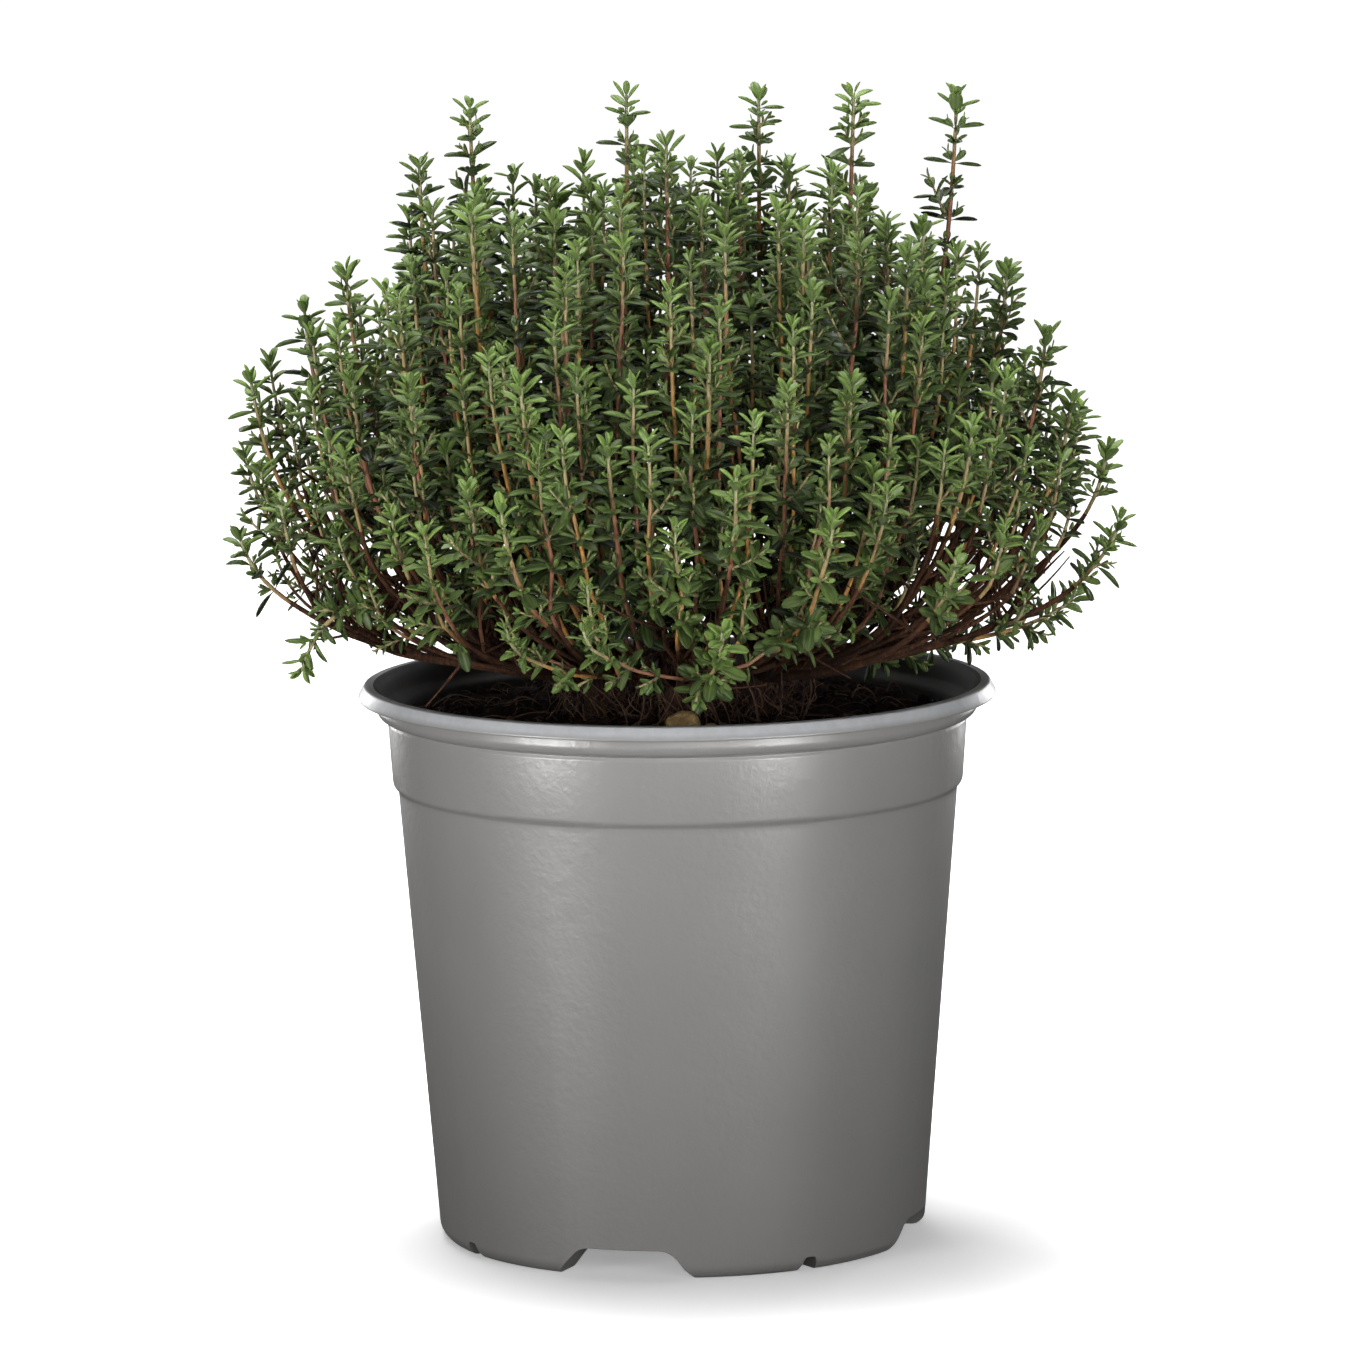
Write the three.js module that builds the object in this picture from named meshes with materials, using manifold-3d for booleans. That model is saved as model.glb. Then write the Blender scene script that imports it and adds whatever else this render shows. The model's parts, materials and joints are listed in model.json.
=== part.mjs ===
// Garden thyme: six woody plants that stand in peat, in a grey moulded nursery pot.
// Millimetres, +Z up, origin at the middle of the pot's foot; the side seen in front is -Y.
import * as THREE from "three";
import { mergeVertices } from "three/addons/utils/BufferGeometryUtils.js";
import Module from "manifold-3d";

const wasm = await Module();
wasm.setup();
const { degToRad, lerp } = THREE.MathUtils;

// ---------------------------------------------------------------- driving dimensions
const POT_HEIGHT = 114;
const LIP_RADIUS = 65;
const FOOT_RADIUS = 50;
const WALL = 1;
const GAP = 0.3; // clearance between neighbouring pieces that touch on the real pot
const ROUND_STEPS = 34; // sides of everything turned round the pot's axis

// Heights and radii of the pot's outer wall, from the foot up.
const FOOT_EDGE = 1.6;
const BODY_TOP = { radius: 57.1, height: 93.6 };
const BAND_FOOT = { radius: 58.1, height: 94.8 };
const BAND_TOP = { radius: 59.1, height: 106.6 };
const SHOULDER = { radius: 61.2, height: 109.2 };
const LIP_SKIRT = 2.8; // how far the lip's rolled edge hangs down
const LIP_MOUTH = 60.3; // inner radius of the lip

// The raised base: a hollow foot ring round a plate, crossed by drainage channels.
const BASE_RAISE = 5.2;
const FOOT_RING_WIDTH = 9;
const RING_DRAFT = 1.2; // slope of the ring's inner wall
const CHANNELS = 4;
const FIRST_CHANNEL = degToRad(-104); // just left of the front
const WIDE_CHANNEL = { foot: 14.6, roof: 9.4, height: 5.2 }; // half widths and height
const NARROW_CHANNEL = { foot: 2.2, roof: 1.2, height: 3 };
const DRAIN = { radius: 3.5, circle: 28 };

// Peat, filled to a little below the lip and heaped in the middle.
const SOIL_EDGE = 106.4;
const SOIL_HEAP = 2.4;
const SOIL_LUMP = 0.7;
const SOIL_RINGS = [46, 30, 12, 0];

// Two stones that lie on the peat behind the front of the lip.
const STONES = [
  { name: "stone_large", at: [1, -33], size: [3.5, 3.0, 2.7], turn: 0.4 },
  { name: "stone_small", at: [6.6, -35], size: [2.2, 1.7, 1.5], turn: 1.1 },
];

// Plants: woody stocks in a ring round the middle, each with bare branches.
const PLANTS = 6;
const PLANT_CIRCLE = 19;
const FIRST_PLANT = degToRad(-90);
const STOCK = { radius: 2.6, depth: 20, height: 7 };
const BRANCH = { thick: 1.5, thin: 0.95, sides: 4, steps: 4 };

// Sprig tips. The first two lists follow the pictured plant: its outline, then its near side.
const OUTLINE_TIPS = [
  [-41, 15, 230], [-51, 0, 220], [-9, 5, 233], [-1, -25, 226], [18, 25, 231], [37, 5, 233],
  [58, 10, 232], [68, 5, 197], [75, -10, 185], [-66, -5, 199], [-75, 8, 190], [-86, 5, 176],
  [80, -14, 172], [88, 3, 160], [90, -8, 147], [-88, -12, 146], [82, 10, 130],
];
const NEAR_TIPS = [
  [-40, -30, 213], [11, -18, 213], [26, -34, 209], [-22, -36, 198], [7, -55, 188],
  [35, -53, 181], [50, -30, 198], [59, -44, 171], [55, -62, 147], [31, -68, 156],
  [12, -70, 164], [-13, -64, 170], [-30, -60, 182], [-64, -36, 180], [-34, -66, 158],
  [-56, -50, 155], [9, -72, 134],
];
const HANGING_TIPS = [[-75, -30, 121]]; // arches over the lip, then hangs
const FAR_TIPS = { count: 15, spacing: 13, jitter: 5 }; // the near side's, turned half round

// The leafy top of a stem: opposite pairs of leaves, each pair square to the next.
const SPRIG_LENGTH = 55;
const HANGING_LENGTH = 22;
const LEAFY_SHARE = 0.62; // the most of a short stem that is leafy
const STEM_HALF = { foot: 0.75, tip: 0.5 }; // half the width of the square stem
const PAIR_STEPS = [2.2, 3.2, 4.8, 6.4, 7.8, 9, 9.6, 10]; // joint to joint, from the tip down
const PAIR_HEIGHT = 1; // the stretch of stem that a pair grows from
const LEAF = { length: 6.4, width: 2.6, keel: 0.62, youngest: 0.55, grown: 22 };
const LEAF_RISE = { tip: 62, foot: 18 }; // degrees above square to the stem

// Ways for a leaf to get clear of its neighbours: lift and sweep in degrees, share of size.
const LEAF_TURNS = [
  [0, 0, 1], [16, 0, 1], [-16, 0, 1], [0, 26, 0.95], [0, -26, 0.95],
  [24, 20, 0.8], [24, -20, 0.8], [-20, 0, 0.8], [30, 0, 0.65],
];
const STEEPEST_LEAF = 68;

// A linear congruential generator, so that every run draws the same numbers.
let seed = 20240517;
function draw(low, high) {
  seed = (seed * 1664525 + 1013904223) % 2 ** 32;
  return low + ((high - low) * seed) / 2 ** 32;
}

// ---------------------------------------------------------------- solids
const UP = new THREE.Vector3(0, 0, 1);

function solidOf(geometry) {
  const bare = new THREE.BufferGeometry();
  bare.setAttribute("position", geometry.getAttribute("position"));
  bare.setIndex(geometry.index);
  const merged = mergeVertices(bare, 1e-4);
  return new wasm.Manifold(
    new wasm.Mesh({
      numProp: 3,
      vertProperties: merged.attributes.position.array,
      triVerts: new Uint32Array(merged.index.array),
    }),
  );
}

function geometryOf(solid) {
  const mesh = solid.getMesh();
  const points = new Float32Array(mesh.numVert * 3);
  for (let i = 0; i < mesh.numVert; i++) {
    const start = i * mesh.numProp;
    points.set(mesh.vertProperties.subarray(start, start + 3), i * 3);
  }
  const geometry = new THREE.BufferGeometry();
  geometry.setAttribute("position", new THREE.BufferAttribute(points, 3));
  geometry.setIndex(new THREE.BufferAttribute(new Uint32Array(mesh.triVerts), 1));
  return geometry;
}

function geometryFrom(points, triangles) {
  const flat = points.flatMap((point) => point.toArray());
  const geometry = new THREE.BufferGeometry();
  geometry.setAttribute("position", new THREE.Float32BufferAttribute(flat, 3));
  geometry.setIndex(triangles.flat());
  return geometry;
}

const joined = (solids) => solids.reduce((all, solid) => all.add(solid));

// Turns a [radius, height] outline, given from the foot up, round the Z axis.
function turned(outline) {
  const points = outline.map(([radius, height]) => new THREE.Vector2(radius, height));
  return new THREE.LatheGeometry(points, ROUND_STEPS).rotateX(Math.PI / 2);
}

// An upright cylinder that stands with its lower end at a height.
function post(radius, height, sides, x, y, foot) {
  const geometry = new THREE.CylinderGeometry(radius, radius, height, sides);
  return geometry.rotateX(Math.PI / 2).translate(x, y, foot + height / 2);
}

// ---------------------------------------------------------------- pot
// The pot's outer wall from its foot to the lip, moved inwards by an inset.
function wallOutline(inset) {
  return [
    [FOOT_RADIUS - FOOT_EDGE - inset * 0.4, inset],
    [FOOT_RADIUS - inset, FOOT_EDGE + inset * 0.4],
    [BODY_TOP.radius - inset, BODY_TOP.height],
    [BAND_FOOT.radius - inset, BAND_FOOT.height],
    [BAND_TOP.radius - inset, BAND_TOP.height],
    [SHOULDER.radius - inset, SHOULDER.height],
  ];
}

// The raised plate and the inner wall of the foot ring, moved up by an inset.
function baseOutline(inset) {
  const ring = FOOT_RADIUS - FOOT_RING_WIDTH;
  return [
    [0, BASE_RAISE + inset],
    [ring - RING_DRAFT + inset, BASE_RAISE + inset],
    [ring + inset, inset],
  ];
}

function lipOutline() {
  const under = POT_HEIGHT - LIP_SKIRT;
  return [
    [SHOULDER.radius, under],
    [SHOULDER.radius + 0.3, POT_HEIGHT - WALL],
    [LIP_RADIUS - WALL, POT_HEIGHT - WALL],
    [LIP_RADIUS - WALL * 0.8, under],
    [LIP_RADIUS, under + 0.2],
    [LIP_RADIUS, POT_HEIGHT - 1.3],
    [LIP_RADIUS - 1.1, POT_HEIGHT - 0.1],
    [LIP_MOUTH + 0.8, POT_HEIGHT],
    [0, POT_HEIGHT],
  ];
}

// The cross-section of a channel, its lower end well under the foot.
function channelShape({ foot, roof, height }, grow) {
  return new THREE.Shape(
    [
      [-foot - grow, -2],
      [foot + grow, -2],
      [foot + grow, 0],
      [roof + grow, height + grow],
      [-roof - grow, height + grow],
      [-foot - grow, 0],
    ].map(([x, y]) => new THREE.Vector2(x, y)),
  );
}

// Prisms that run outwards through the foot ring, one for each channel.
function channels(section, firstAngle, grow) {
  const inner = FOOT_RADIUS - FOOT_RING_WIDTH - 4;
  return Array.from({ length: CHANNELS }, (_, index) => {
    const settings = { depth: 24, bevelEnabled: false };
    const prism = new THREE.ExtrudeGeometry(channelShape(section, grow), settings);
    prism.rotateX(Math.PI / 2).rotateZ(Math.PI).translate(0, inner, 0);
    prism.rotateZ(firstAngle - Math.PI / 2 + (index * 2 * Math.PI) / CHANNELS);
    return solidOf(prism);
  });
}

function allChannels(grow) {
  const between = FIRST_CHANNEL + Math.PI / CHANNELS;
  return joined([
    ...channels(WIDE_CHANNEL, FIRST_CHANNEL, grow),
    ...channels(NARROW_CHANNEL, between, grow),
  ]);
}

function drainHoles() {
  return joined(
    Array.from({ length: CHANNELS }, (_, index) => {
      const angle = FIRST_CHANNEL + (index * 2 * Math.PI) / CHANNELS;
      const [x, y] = [Math.cos(angle) * DRAIN.circle, Math.sin(angle) * DRAIN.circle];
      return solidOf(post(DRAIN.radius, 6, 10, x, y, BASE_RAISE - 3));
    }),
  );
}

function potGeometry() {
  const outer = turned([...baseOutline(0), ...wallOutline(0), ...lipOutline()]);
  const inside = turned([
    ...baseOutline(WALL),
    ...wallOutline(WALL),
    [LIP_MOUTH, POT_HEIGHT - 0.8],
    [LIP_MOUTH + 1, POT_HEIGHT + 1],
    [0, POT_HEIGHT + 1],
  ]);
  const cavity = solidOf(inside).subtract(allChannels(WALL));
  return geometryOf(solidOf(outer).subtract(cavity).subtract(allChannels(0)).subtract(drainHoles()));
}

// ---------------------------------------------------------------- peat and stones
function soilHeight(x, y) {
  const share = Math.min(1, Math.hypot(x, y) / LIP_MOUTH);
  const ripple = Math.sin(x * 0.31 + 1) * Math.cos(y * 0.27) + 0.6 * Math.sin(x * 0.17 - y * 0.43);
  return SOIL_EDGE + SOIL_HEAP * (1 - share * share) + SOIL_LUMP * ripple * (1 - share ** 4);
}

function soilBody() {
  const inset = WALL + GAP;
  const floor = BASE_RAISE + inset;
  const edge = [BAND_TOP.radius - inset - 0.15, SOIL_EDGE];
  const rings = SOIL_RINGS.map((radius) => [radius, SOIL_EDGE]);
  const sides = wallOutline(inset).slice(2, 4);
  const geometry = turned([[0, floor], [FOOT_RADIUS - inset, floor], ...sides, edge, ...rings]);
  const place = geometry.getAttribute("position");
  for (let i = 0; i < place.count; i++) {
    const [x, y] = [place.getX(i), place.getY(i)];
    const onTop = place.getZ(i) > SOIL_EDGE - 0.01 && Math.hypot(x, y) < edge[0] - 1;
    if (onTop) {
      place.setZ(i, soilHeight(x, y));
    }
  }
  return solidOf(geometry);
}

// A lumpy stone, or with room round it the dish that it lies in.
function stoneGeometry({ at, size, turn }, room = 0) {
  const geometry = new THREE.IcosahedronGeometry(1, 1);
  const place = geometry.getAttribute("position");
  for (let i = 0; i < place.count; i++) {
    const point = new THREE.Vector3().fromBufferAttribute(place, i);
    const { x, y, z } = point;
    point.multiplyScalar(1 + 0.07 * Math.sin(3.1 * x + 1.7 * y) + 0.05 * Math.cos(4.3 * z + 2 * x));
    place.setXYZ(i, ...point);
  }
  geometry.scale(size[0] + room, size[1] + room, size[2] + room).rotateZ(turn);
  return geometry.translate(at[0], at[1], soilHeight(...at) + size[2] * 0.75);
}

function soilGeometry(roots) {
  const holes = roots.map(({ x, y }) => {
    const foot = soilHeight(x, y) - STOCK.depth - GAP;
    return solidOf(post(STOCK.radius + GAP, STOCK.depth + 10, 8, x, y, foot));
  });
  const dishes = STONES.map((stone) => solidOf(stoneGeometry(stone, GAP)));
  return geometryOf(soilBody().subtract(joined([...holes, ...dishes])));
}

// ---------------------------------------------------------------- the lie of the stems
// Where each plant's stock ends and its branches begin.
function plantRoots() {
  return Array.from({ length: PLANTS }, (_, index) => {
    const angle = FIRST_PLANT + (index * 2 * Math.PI) / PLANTS;
    const [x, y] = [Math.cos(angle) * PLANT_CIRCLE, Math.sin(angle) * PLANT_CIRCLE];
    return new THREE.Vector3(x, y, soilHeight(x, y) + STOCK.height);
  });
}

// The far side's tips: the near side's, turned half round and moved by a seeded draw.
function farTips(taken) {
  const found = [];
  const { count, spacing, jitter } = FAR_TIPS;
  for (const [x, y, z] of NEAR_TIPS) {
    const tip = [-x, -y, z].map((value) => value + draw(-jitter, jitter));
    const apart = ([a, b, c]) => Math.hypot(a - tip[0], b - tip[1], c - tip[2]) > spacing;
    if (found.length < count && [...taken, ...found].every(apart)) {
      found.push(tip);
    }
  }
  return found;
}

// The plant whose bearing from the middle of the pot is nearest the tip's.
function nearestPlant(roots, tip) {
  const bearing = Math.atan2(tip.y, tip.x);
  const turns = roots.map((root) => {
    const turn = bearing - Math.atan2(root.y, root.x);
    return Math.abs(Math.atan2(Math.sin(turn), Math.cos(turn)));
  });
  return turns.indexOf(Math.min(...turns));
}

// A stem's centreline in one upright plane: from its stock low outwards, then up to its tip.
function stemCurve(root, tip, hanging) {
  const outward = new THREE.Vector3(tip.x - root.x, tip.y - root.y, 0);
  const run = outward.length();
  const rise = tip.z - root.z;
  outward.normalize();
  const point = (out, high) => root.clone().addScaledVector(outward, out).addScaledVector(UP, high);
  const controls = hanging
    ? [point(run * 0.5, rise + 14), point(run * 0.9, rise + 22)]
    : [point(run * 0.62, rise * 0.08 + run * 0.03), point(run * 0.94, rise * 0.46)];
  const curve = new THREE.CubicBezierCurve3(root, ...controls, tip);
  curve.side = new THREE.Vector3().crossVectors(UP, outward);
  return curve;
}

// The stem's position at a share of its length, with three square directions there.
function frameAt(curve, share, twist) {
  const along = curve.getTangentAt(share);
  const square = new THREE.Vector3().crossVectors(curve.side, along).normalize();
  const across = curve.side.clone().multiplyScalar(Math.cos(twist));
  across.addScaledVector(square, Math.sin(twist));
  return { at: curve.getPointAt(share), along, across, front: along.clone().cross(across) };
}

function sprigPlans(roots) {
  const pictured = [...OUTLINE_TIPS, ...NEAR_TIPS, ...HANGING_TIPS];
  return [...pictured, ...farTips(pictured)].map((place, index) => {
    const tip = new THREE.Vector3(...place);
    const plant = nearestPlant(roots, tip);
    const hanging = HANGING_TIPS.includes(place);
    const curve = stemCurve(roots[plant], tip, hanging);
    const length = curve.getLength();
    const leafy = Math.min(hanging ? HANGING_LENGTH : SPRIG_LENGTH, length * LEAFY_SHARE);
    const name = `sprig_${String(index + 1).padStart(2, "0")}`;
    return { name, plant, curve, length, leafy, from: 1 - leafy / length };
  });
}

// ---------------------------------------------------------------- wood
// A tapered branch of few sides with flat ends, up to a share of its curve.
function branchGeometry(curve, to) {
  const { thick, thin, sides, steps } = BRANCH;
  const points = [];
  const triangles = [];
  for (let i = 0; i <= steps; i++) {
    const { at, across, front } = frameAt(curve, (to * i) / steps, 0);
    const radius = lerp(thick, thin, i / steps);
    for (let j = 0; j < sides; j++) {
      const angle = ((j + 0.5) * 2 * Math.PI) / sides;
      const point = at.clone().addScaledVector(across, radius * Math.cos(angle));
      points.push(point.addScaledVector(front, radius * Math.sin(angle)));
    }
  }
  for (let i = 0; i < steps * sides; i++) {
    const next = i - (i % sides) + ((i + 1) % sides);
    triangles.push([i, next, next + sides], [i, next + sides, i + sides]);
  }
  const last = steps * sides;
  for (let j = 1; j < sides - 1; j++) {
    triangles.push([0, j + 1, j], [last, last + j, last + j + 1]);
  }
  return geometryFrom(points, triangles);
}

function woodGeometry(root, plans) {
  const foot = root.z - STOCK.height - STOCK.depth;
  const stock = post(STOCK.radius, root.z + 1.5 - foot, 7, root.x, root.y, foot);
  const branches = plans.map(({ curve, length, from }) => {
    return solidOf(branchGeometry(curve, from - GAP / length));
  });
  return geometryOf(joined([solidOf(stock), ...branches]));
}

// ---------------------------------------------------------------- room between pieces
// Balls strung along stems and leaves, kept by cell, so that a leaf can grow clear of them.
const ballCells = new Map();
const BALL_CELL = 8;
const BALL_STEP = 1.5;
const cellOf = (point) => point.toArray().map((value) => Math.floor(value / BALL_CELL));

function addBall(centre, radius, owner) {
  const key = cellOf(centre).join();
  ballCells.set(key, [...(ballCells.get(key) ?? []), { centre, radius, owner }]);
}

function ballsNear(centre) {
  const [x, y, z] = cellOf(centre);
  const steps = [-1, 0, 1];
  const keys = steps.flatMap((i) => steps.flatMap((j) => steps.map((k) => [x + i, y + j, z + k])));
  return keys.flatMap((key) => ballCells.get(key.join()) ?? []);
}

function isClear(centre, radius, owner) {
  return ballsNear(centre).every((ball) => {
    const reach = ball.radius + radius + GAP / 2;
    return ball.owner === owner || ball.centre.distanceTo(centre) > reach;
  });
}

function stringBalls({ curve, length }, from, to, radius, owner) {
  const count = Math.ceil((length * (to - from)) / BALL_STEP);
  for (let i = 0; i <= count; i++) {
    addBall(curve.getPointAt(lerp(from, to, i / count)), radius, owner);
  }
}

// ---------------------------------------------------------------- leafy sprigs
// The parts of one leaf turned one way: blade edges, keel and tip, and the balls that fill it.
function leafTurned({ root, out, along, length, rise, owner }, [lift, sweep, share]) {
  const across = new THREE.Vector3().crossVectors(along, out).normalize();
  const pitch = degToRad(Math.min(rise + lift, STEEPEST_LEAF));
  const yaw = degToRad(sweep);
  const flat = out.clone().multiplyScalar(Math.cos(yaw)).addScaledVector(across, Math.sin(yaw));
  const way = flat.multiplyScalar(Math.cos(pitch)).addScaledVector(along, Math.sin(pitch));
  const width = new THREE.Vector3().crossVectors(along, way).normalize();
  const top = new THREE.Vector3().crossVectors(way, width).normalize();
  const half = (LEAF.width * share * (0.6 + 0.4 * (length / LEAF.length))) / 2;
  const at = (part, high) => {
    return root.clone().addScaledVector(way, length * share * part).addScaledVector(top, high);
  };
  const middle = at(0.48, 0.35);
  const tip = at(1, -0.35);
  const fill = [[at(0.3, 0.2), half * 0.7], [middle, half * 0.9], [at(0.75, 0.1), half * 0.6], [tip, 0.2]];
  const points = [
    middle.clone().addScaledVector(width, -half),
    middle.clone().addScaledVector(width, half),
    middle.clone().addScaledVector(top, -LEAF.keel),
    tip,
  ];
  return { points, fill, clear: fill.every(([centre, radius]) => isClear(centre, radius, owner)) };
}

// The first turn of a leaf that leaves room round it, or nothing where there is none.
function leafPoints(leaf) {
  const turned = LEAF_TURNS.map((turn) => leafTurned(leaf, turn)).find(({ clear }) => clear);
  turned?.fill.forEach(([centre, radius]) => addBall(centre, radius, leaf.owner));
  return turned?.points;
}

// Joints of a leafy stem, as distances from its tip.
function jointDistances(leafy) {
  let distance = 0;
  const all = PAIR_STEPS.map((step) => (distance += step));
  return all.filter((joint) => joint < leafy - 2);
}

// The mesh of a sprig under way, with the square stem's rings and faces.
class Sprig {
  constructor({ name, curve, length, leafy }) {
    Object.assign(this, { name, curve, length, leafy, points: [], triangles: [] });
    this.twist = draw(0, Math.PI / 2);
  }

  frame(distance) {
    return frameAt(this.curve, 1 - distance / this.length, this.twist);
  }

  ring(distance) {
    const { at, across, front } = this.frame(distance);
    const half = lerp(STEM_HALF.tip, STEM_HALF.foot, distance / this.leafy);
    const start = this.points.length;
    for (const [i, j] of [[1, 1], [-1, 1], [-1, -1], [1, -1]]) {
      const corner = at.clone().addScaledVector(across, i * half);
      this.points.push(corner.addScaledVector(front, j * half));
    }
    return start;
  }

  // The corners of the stem's face j between two rings, from its lower left round.
  face(low, high, j) {
    const next = (j + 1) % 4;
    return [low + j, low + next, high + next, high + j];
  }

  addPlain([a, b, c, d]) {
    this.triangles.push([a, b, c], [a, c, d]);
  }

  // Grows a leaf from a face of the stem, or leaves the face plain where there is no room.
  addLeaf(corners, distance, j) {
    const { along, across, front } = this.frame(distance);
    const out = [front, across.clone().negate(), front.clone().negate(), across][j];
    const root = corners.reduce((sum, i) => sum.add(this.points[i]), new THREE.Vector3());
    const age = Math.min(1, distance / LEAF.grown);
    const length = LEAF.length * lerp(LEAF.youngest, 1, age) * draw(0.9, 1.06);
    const lower = Math.sqrt(Math.min(1, distance / SPRIG_LENGTH));
    const rise = lerp(LEAF_RISE.tip, LEAF_RISE.foot, lower) + draw(-7, 7);
    const leaf = { root: root.divideScalar(4), out, along, length, rise, owner: this.name };
    const points = leafPoints(leaf);
    if (!points) {
      this.addPlain(corners);
      return;
    }
    const [a, b, c, d] = corners;
    const left = this.points.length;
    const [right, keel, tip] = [left + 1, left + 2, left + 3];
    this.points.push(...points);
    this.triangles.push([a, b, keel], [b, right, keel], [b, c, right], [c, d, right]);
    this.triangles.push([d, left, right], [d, a, left], [a, keel, left]);
    this.triangles.push([left, tip, right], [keel, right, tip], [left, keel, tip]);
  }

  addTip(ring) {
    const { at, along } = this.frame(0);
    const apex = this.points.push(at.addScaledVector(along, 0.2)) - 1;
    for (let j = 0; j < 4; j++) {
      this.triangles.push([ring + j, ring + ((j + 1) % 4), apex]);
    }
  }

  addStem(low, high) {
    for (let j = 0; j < 4; j++) {
      this.addPlain(this.face(low, high, j));
    }
  }

  // Leaves on two opposite faces of a short stretch; the other two faces stay plain.
  addPair(low, high, distance, index) {
    for (let j = 0; j < 4; j++) {
      const corners = this.face(low, high, j);
      if (j % 2 === index % 2) {
        this.addLeaf(corners, distance, j);
      } else {
        this.addPlain(corners);
      }
    }
  }

  geometry() {
    let upper = this.ring(1.1);
    this.addTip(upper);
    jointDistances(this.leafy).forEach((joint, index) => {
      const high = this.ring(joint);
      const low = this.ring(joint + PAIR_HEIGHT);
      this.addStem(high, upper);
      this.addPair(low, high, joint + PAIR_HEIGHT / 2, index);
      upper = low;
    });
    const foot = this.ring(this.leafy);
    this.addStem(foot, upper);
    this.triangles.push([foot, foot + 2, foot + 1], [foot, foot + 3, foot + 2]);
    return geometryFrom(this.points, this.triangles);
  }
}

// ---------------------------------------------------------------- assembly
const plastic = new THREE.MeshStandardMaterial({ color: 0x8f8d8a, roughness: 0.45, metalness: 0 });
const peat = new THREE.MeshStandardMaterial({ color: 0x1f1611, roughness: 0.95, metalness: 0 });
const stone = new THREE.MeshStandardMaterial({ color: 0x8c7448, roughness: 0.85, metalness: 0 });
const bark = new THREE.MeshStandardMaterial({ color: 0x5b3d2b, roughness: 0.85, metalness: 0 });
const foliage = new THREE.MeshStandardMaterial({ color: 0x4f7040, roughness: 0.7, metalness: 0 });

function piece(name, geometry, material) {
  const mesh = new THREE.Mesh(geometry, material);
  mesh.name = name;
  return mesh;
}

function pottedThyme() {
  const group = new THREE.Group();
  const roots = plantRoots();
  const plans = sprigPlans(roots);
  plans.forEach((plan) => {
    stringBalls(plan, 0.08, plan.from, BRANCH.thick, "wood");
    stringBalls(plan, plan.from, 1, STEM_HALF.foot * 1.2, plan.name);
  });
  group.add(piece("pot", potGeometry(), plastic), piece("soil", soilGeometry(roots), peat));
  STONES.forEach((plan) => group.add(piece(plan.name, stoneGeometry(plan), stone)));
  roots.forEach((root, plant) => {
    const own = plans.filter((plan) => plan.plant === plant);
    group.add(piece(`wood_${plant + 1}`, woodGeometry(root, own), bark));
    own.forEach((plan) => group.add(piece(plan.name, new Sprig(plan).geometry(), foliage)));
  });
  return group;
}

export default pottedThyme();
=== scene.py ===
"""Looks of a garden thyme in a grey nursery pot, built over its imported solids.

Lengths inside the shape functions are in millimetres, in the part's own frame: the origin is
the middle of the pot's foot, +Z is up and -Y is the side that the camera sees.
"""

import json
import math

import bmesh
import bpy
import numpy as np
from bpy.props import FloatProperty, FloatVectorProperty, IntProperty, PointerProperty
from bpy.types import Operator, Panel, PropertyGroup
from mathutils import Matrix, Vector

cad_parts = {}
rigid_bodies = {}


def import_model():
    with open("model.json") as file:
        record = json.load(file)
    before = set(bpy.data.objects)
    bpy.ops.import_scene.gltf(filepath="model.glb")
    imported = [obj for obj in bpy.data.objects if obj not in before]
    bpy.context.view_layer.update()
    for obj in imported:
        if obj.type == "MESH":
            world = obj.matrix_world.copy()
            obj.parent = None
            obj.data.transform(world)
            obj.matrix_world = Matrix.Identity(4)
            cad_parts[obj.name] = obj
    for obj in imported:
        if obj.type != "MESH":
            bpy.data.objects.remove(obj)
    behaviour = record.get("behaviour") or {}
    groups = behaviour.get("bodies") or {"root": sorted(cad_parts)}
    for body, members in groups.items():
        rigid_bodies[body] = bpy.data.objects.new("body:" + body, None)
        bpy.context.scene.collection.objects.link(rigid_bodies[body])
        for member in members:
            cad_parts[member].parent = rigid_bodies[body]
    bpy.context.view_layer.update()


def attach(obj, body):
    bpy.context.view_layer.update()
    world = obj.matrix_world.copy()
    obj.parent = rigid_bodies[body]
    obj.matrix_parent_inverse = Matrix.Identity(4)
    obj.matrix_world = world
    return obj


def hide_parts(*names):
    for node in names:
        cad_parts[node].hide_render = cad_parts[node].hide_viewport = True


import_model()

bl_info = {
    "name": "Potted thyme",
    "version": (1, 0, 0),
    "blender": (4, 5, 0),
    "location": "View3D > Sidebar > Thyme",
    "description": "Builds a bush of garden thyme in a nursery pot, in a plain studio",
    "category": "Object",
}

MM = 0.001
PICTURE_WIDTH, CAMERA_ROLL = 1366, math.radians(-0.6)

# ---------------------------------------------------------------- the solids' own sizes
POT_HEIGHT, LIP_RADIUS, LIP_MOUTH = 114.0, 65.0, 60.3
FOOT_RADIUS, FOOT_RING_WIDTH, BASE_RAISE, WALL = 50.0, 9.0, 5.2, 1.0
FIRST_CHANNEL = math.radians(-104)
# A channel's half width at the foot, half width at its roof, and height.
WIDE_CHANNEL, NARROW_CHANNEL = (14.6, 9.4, 5.9), (2.2, 1.2, 3.0)
DRAIN_RADIUS, DRAIN_CIRCLE = 3.5, 28.0
SOIL_EDGE, SOIL_HEAP, SOIL_LUMP = 106.4, 2.4, 0.7
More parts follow.
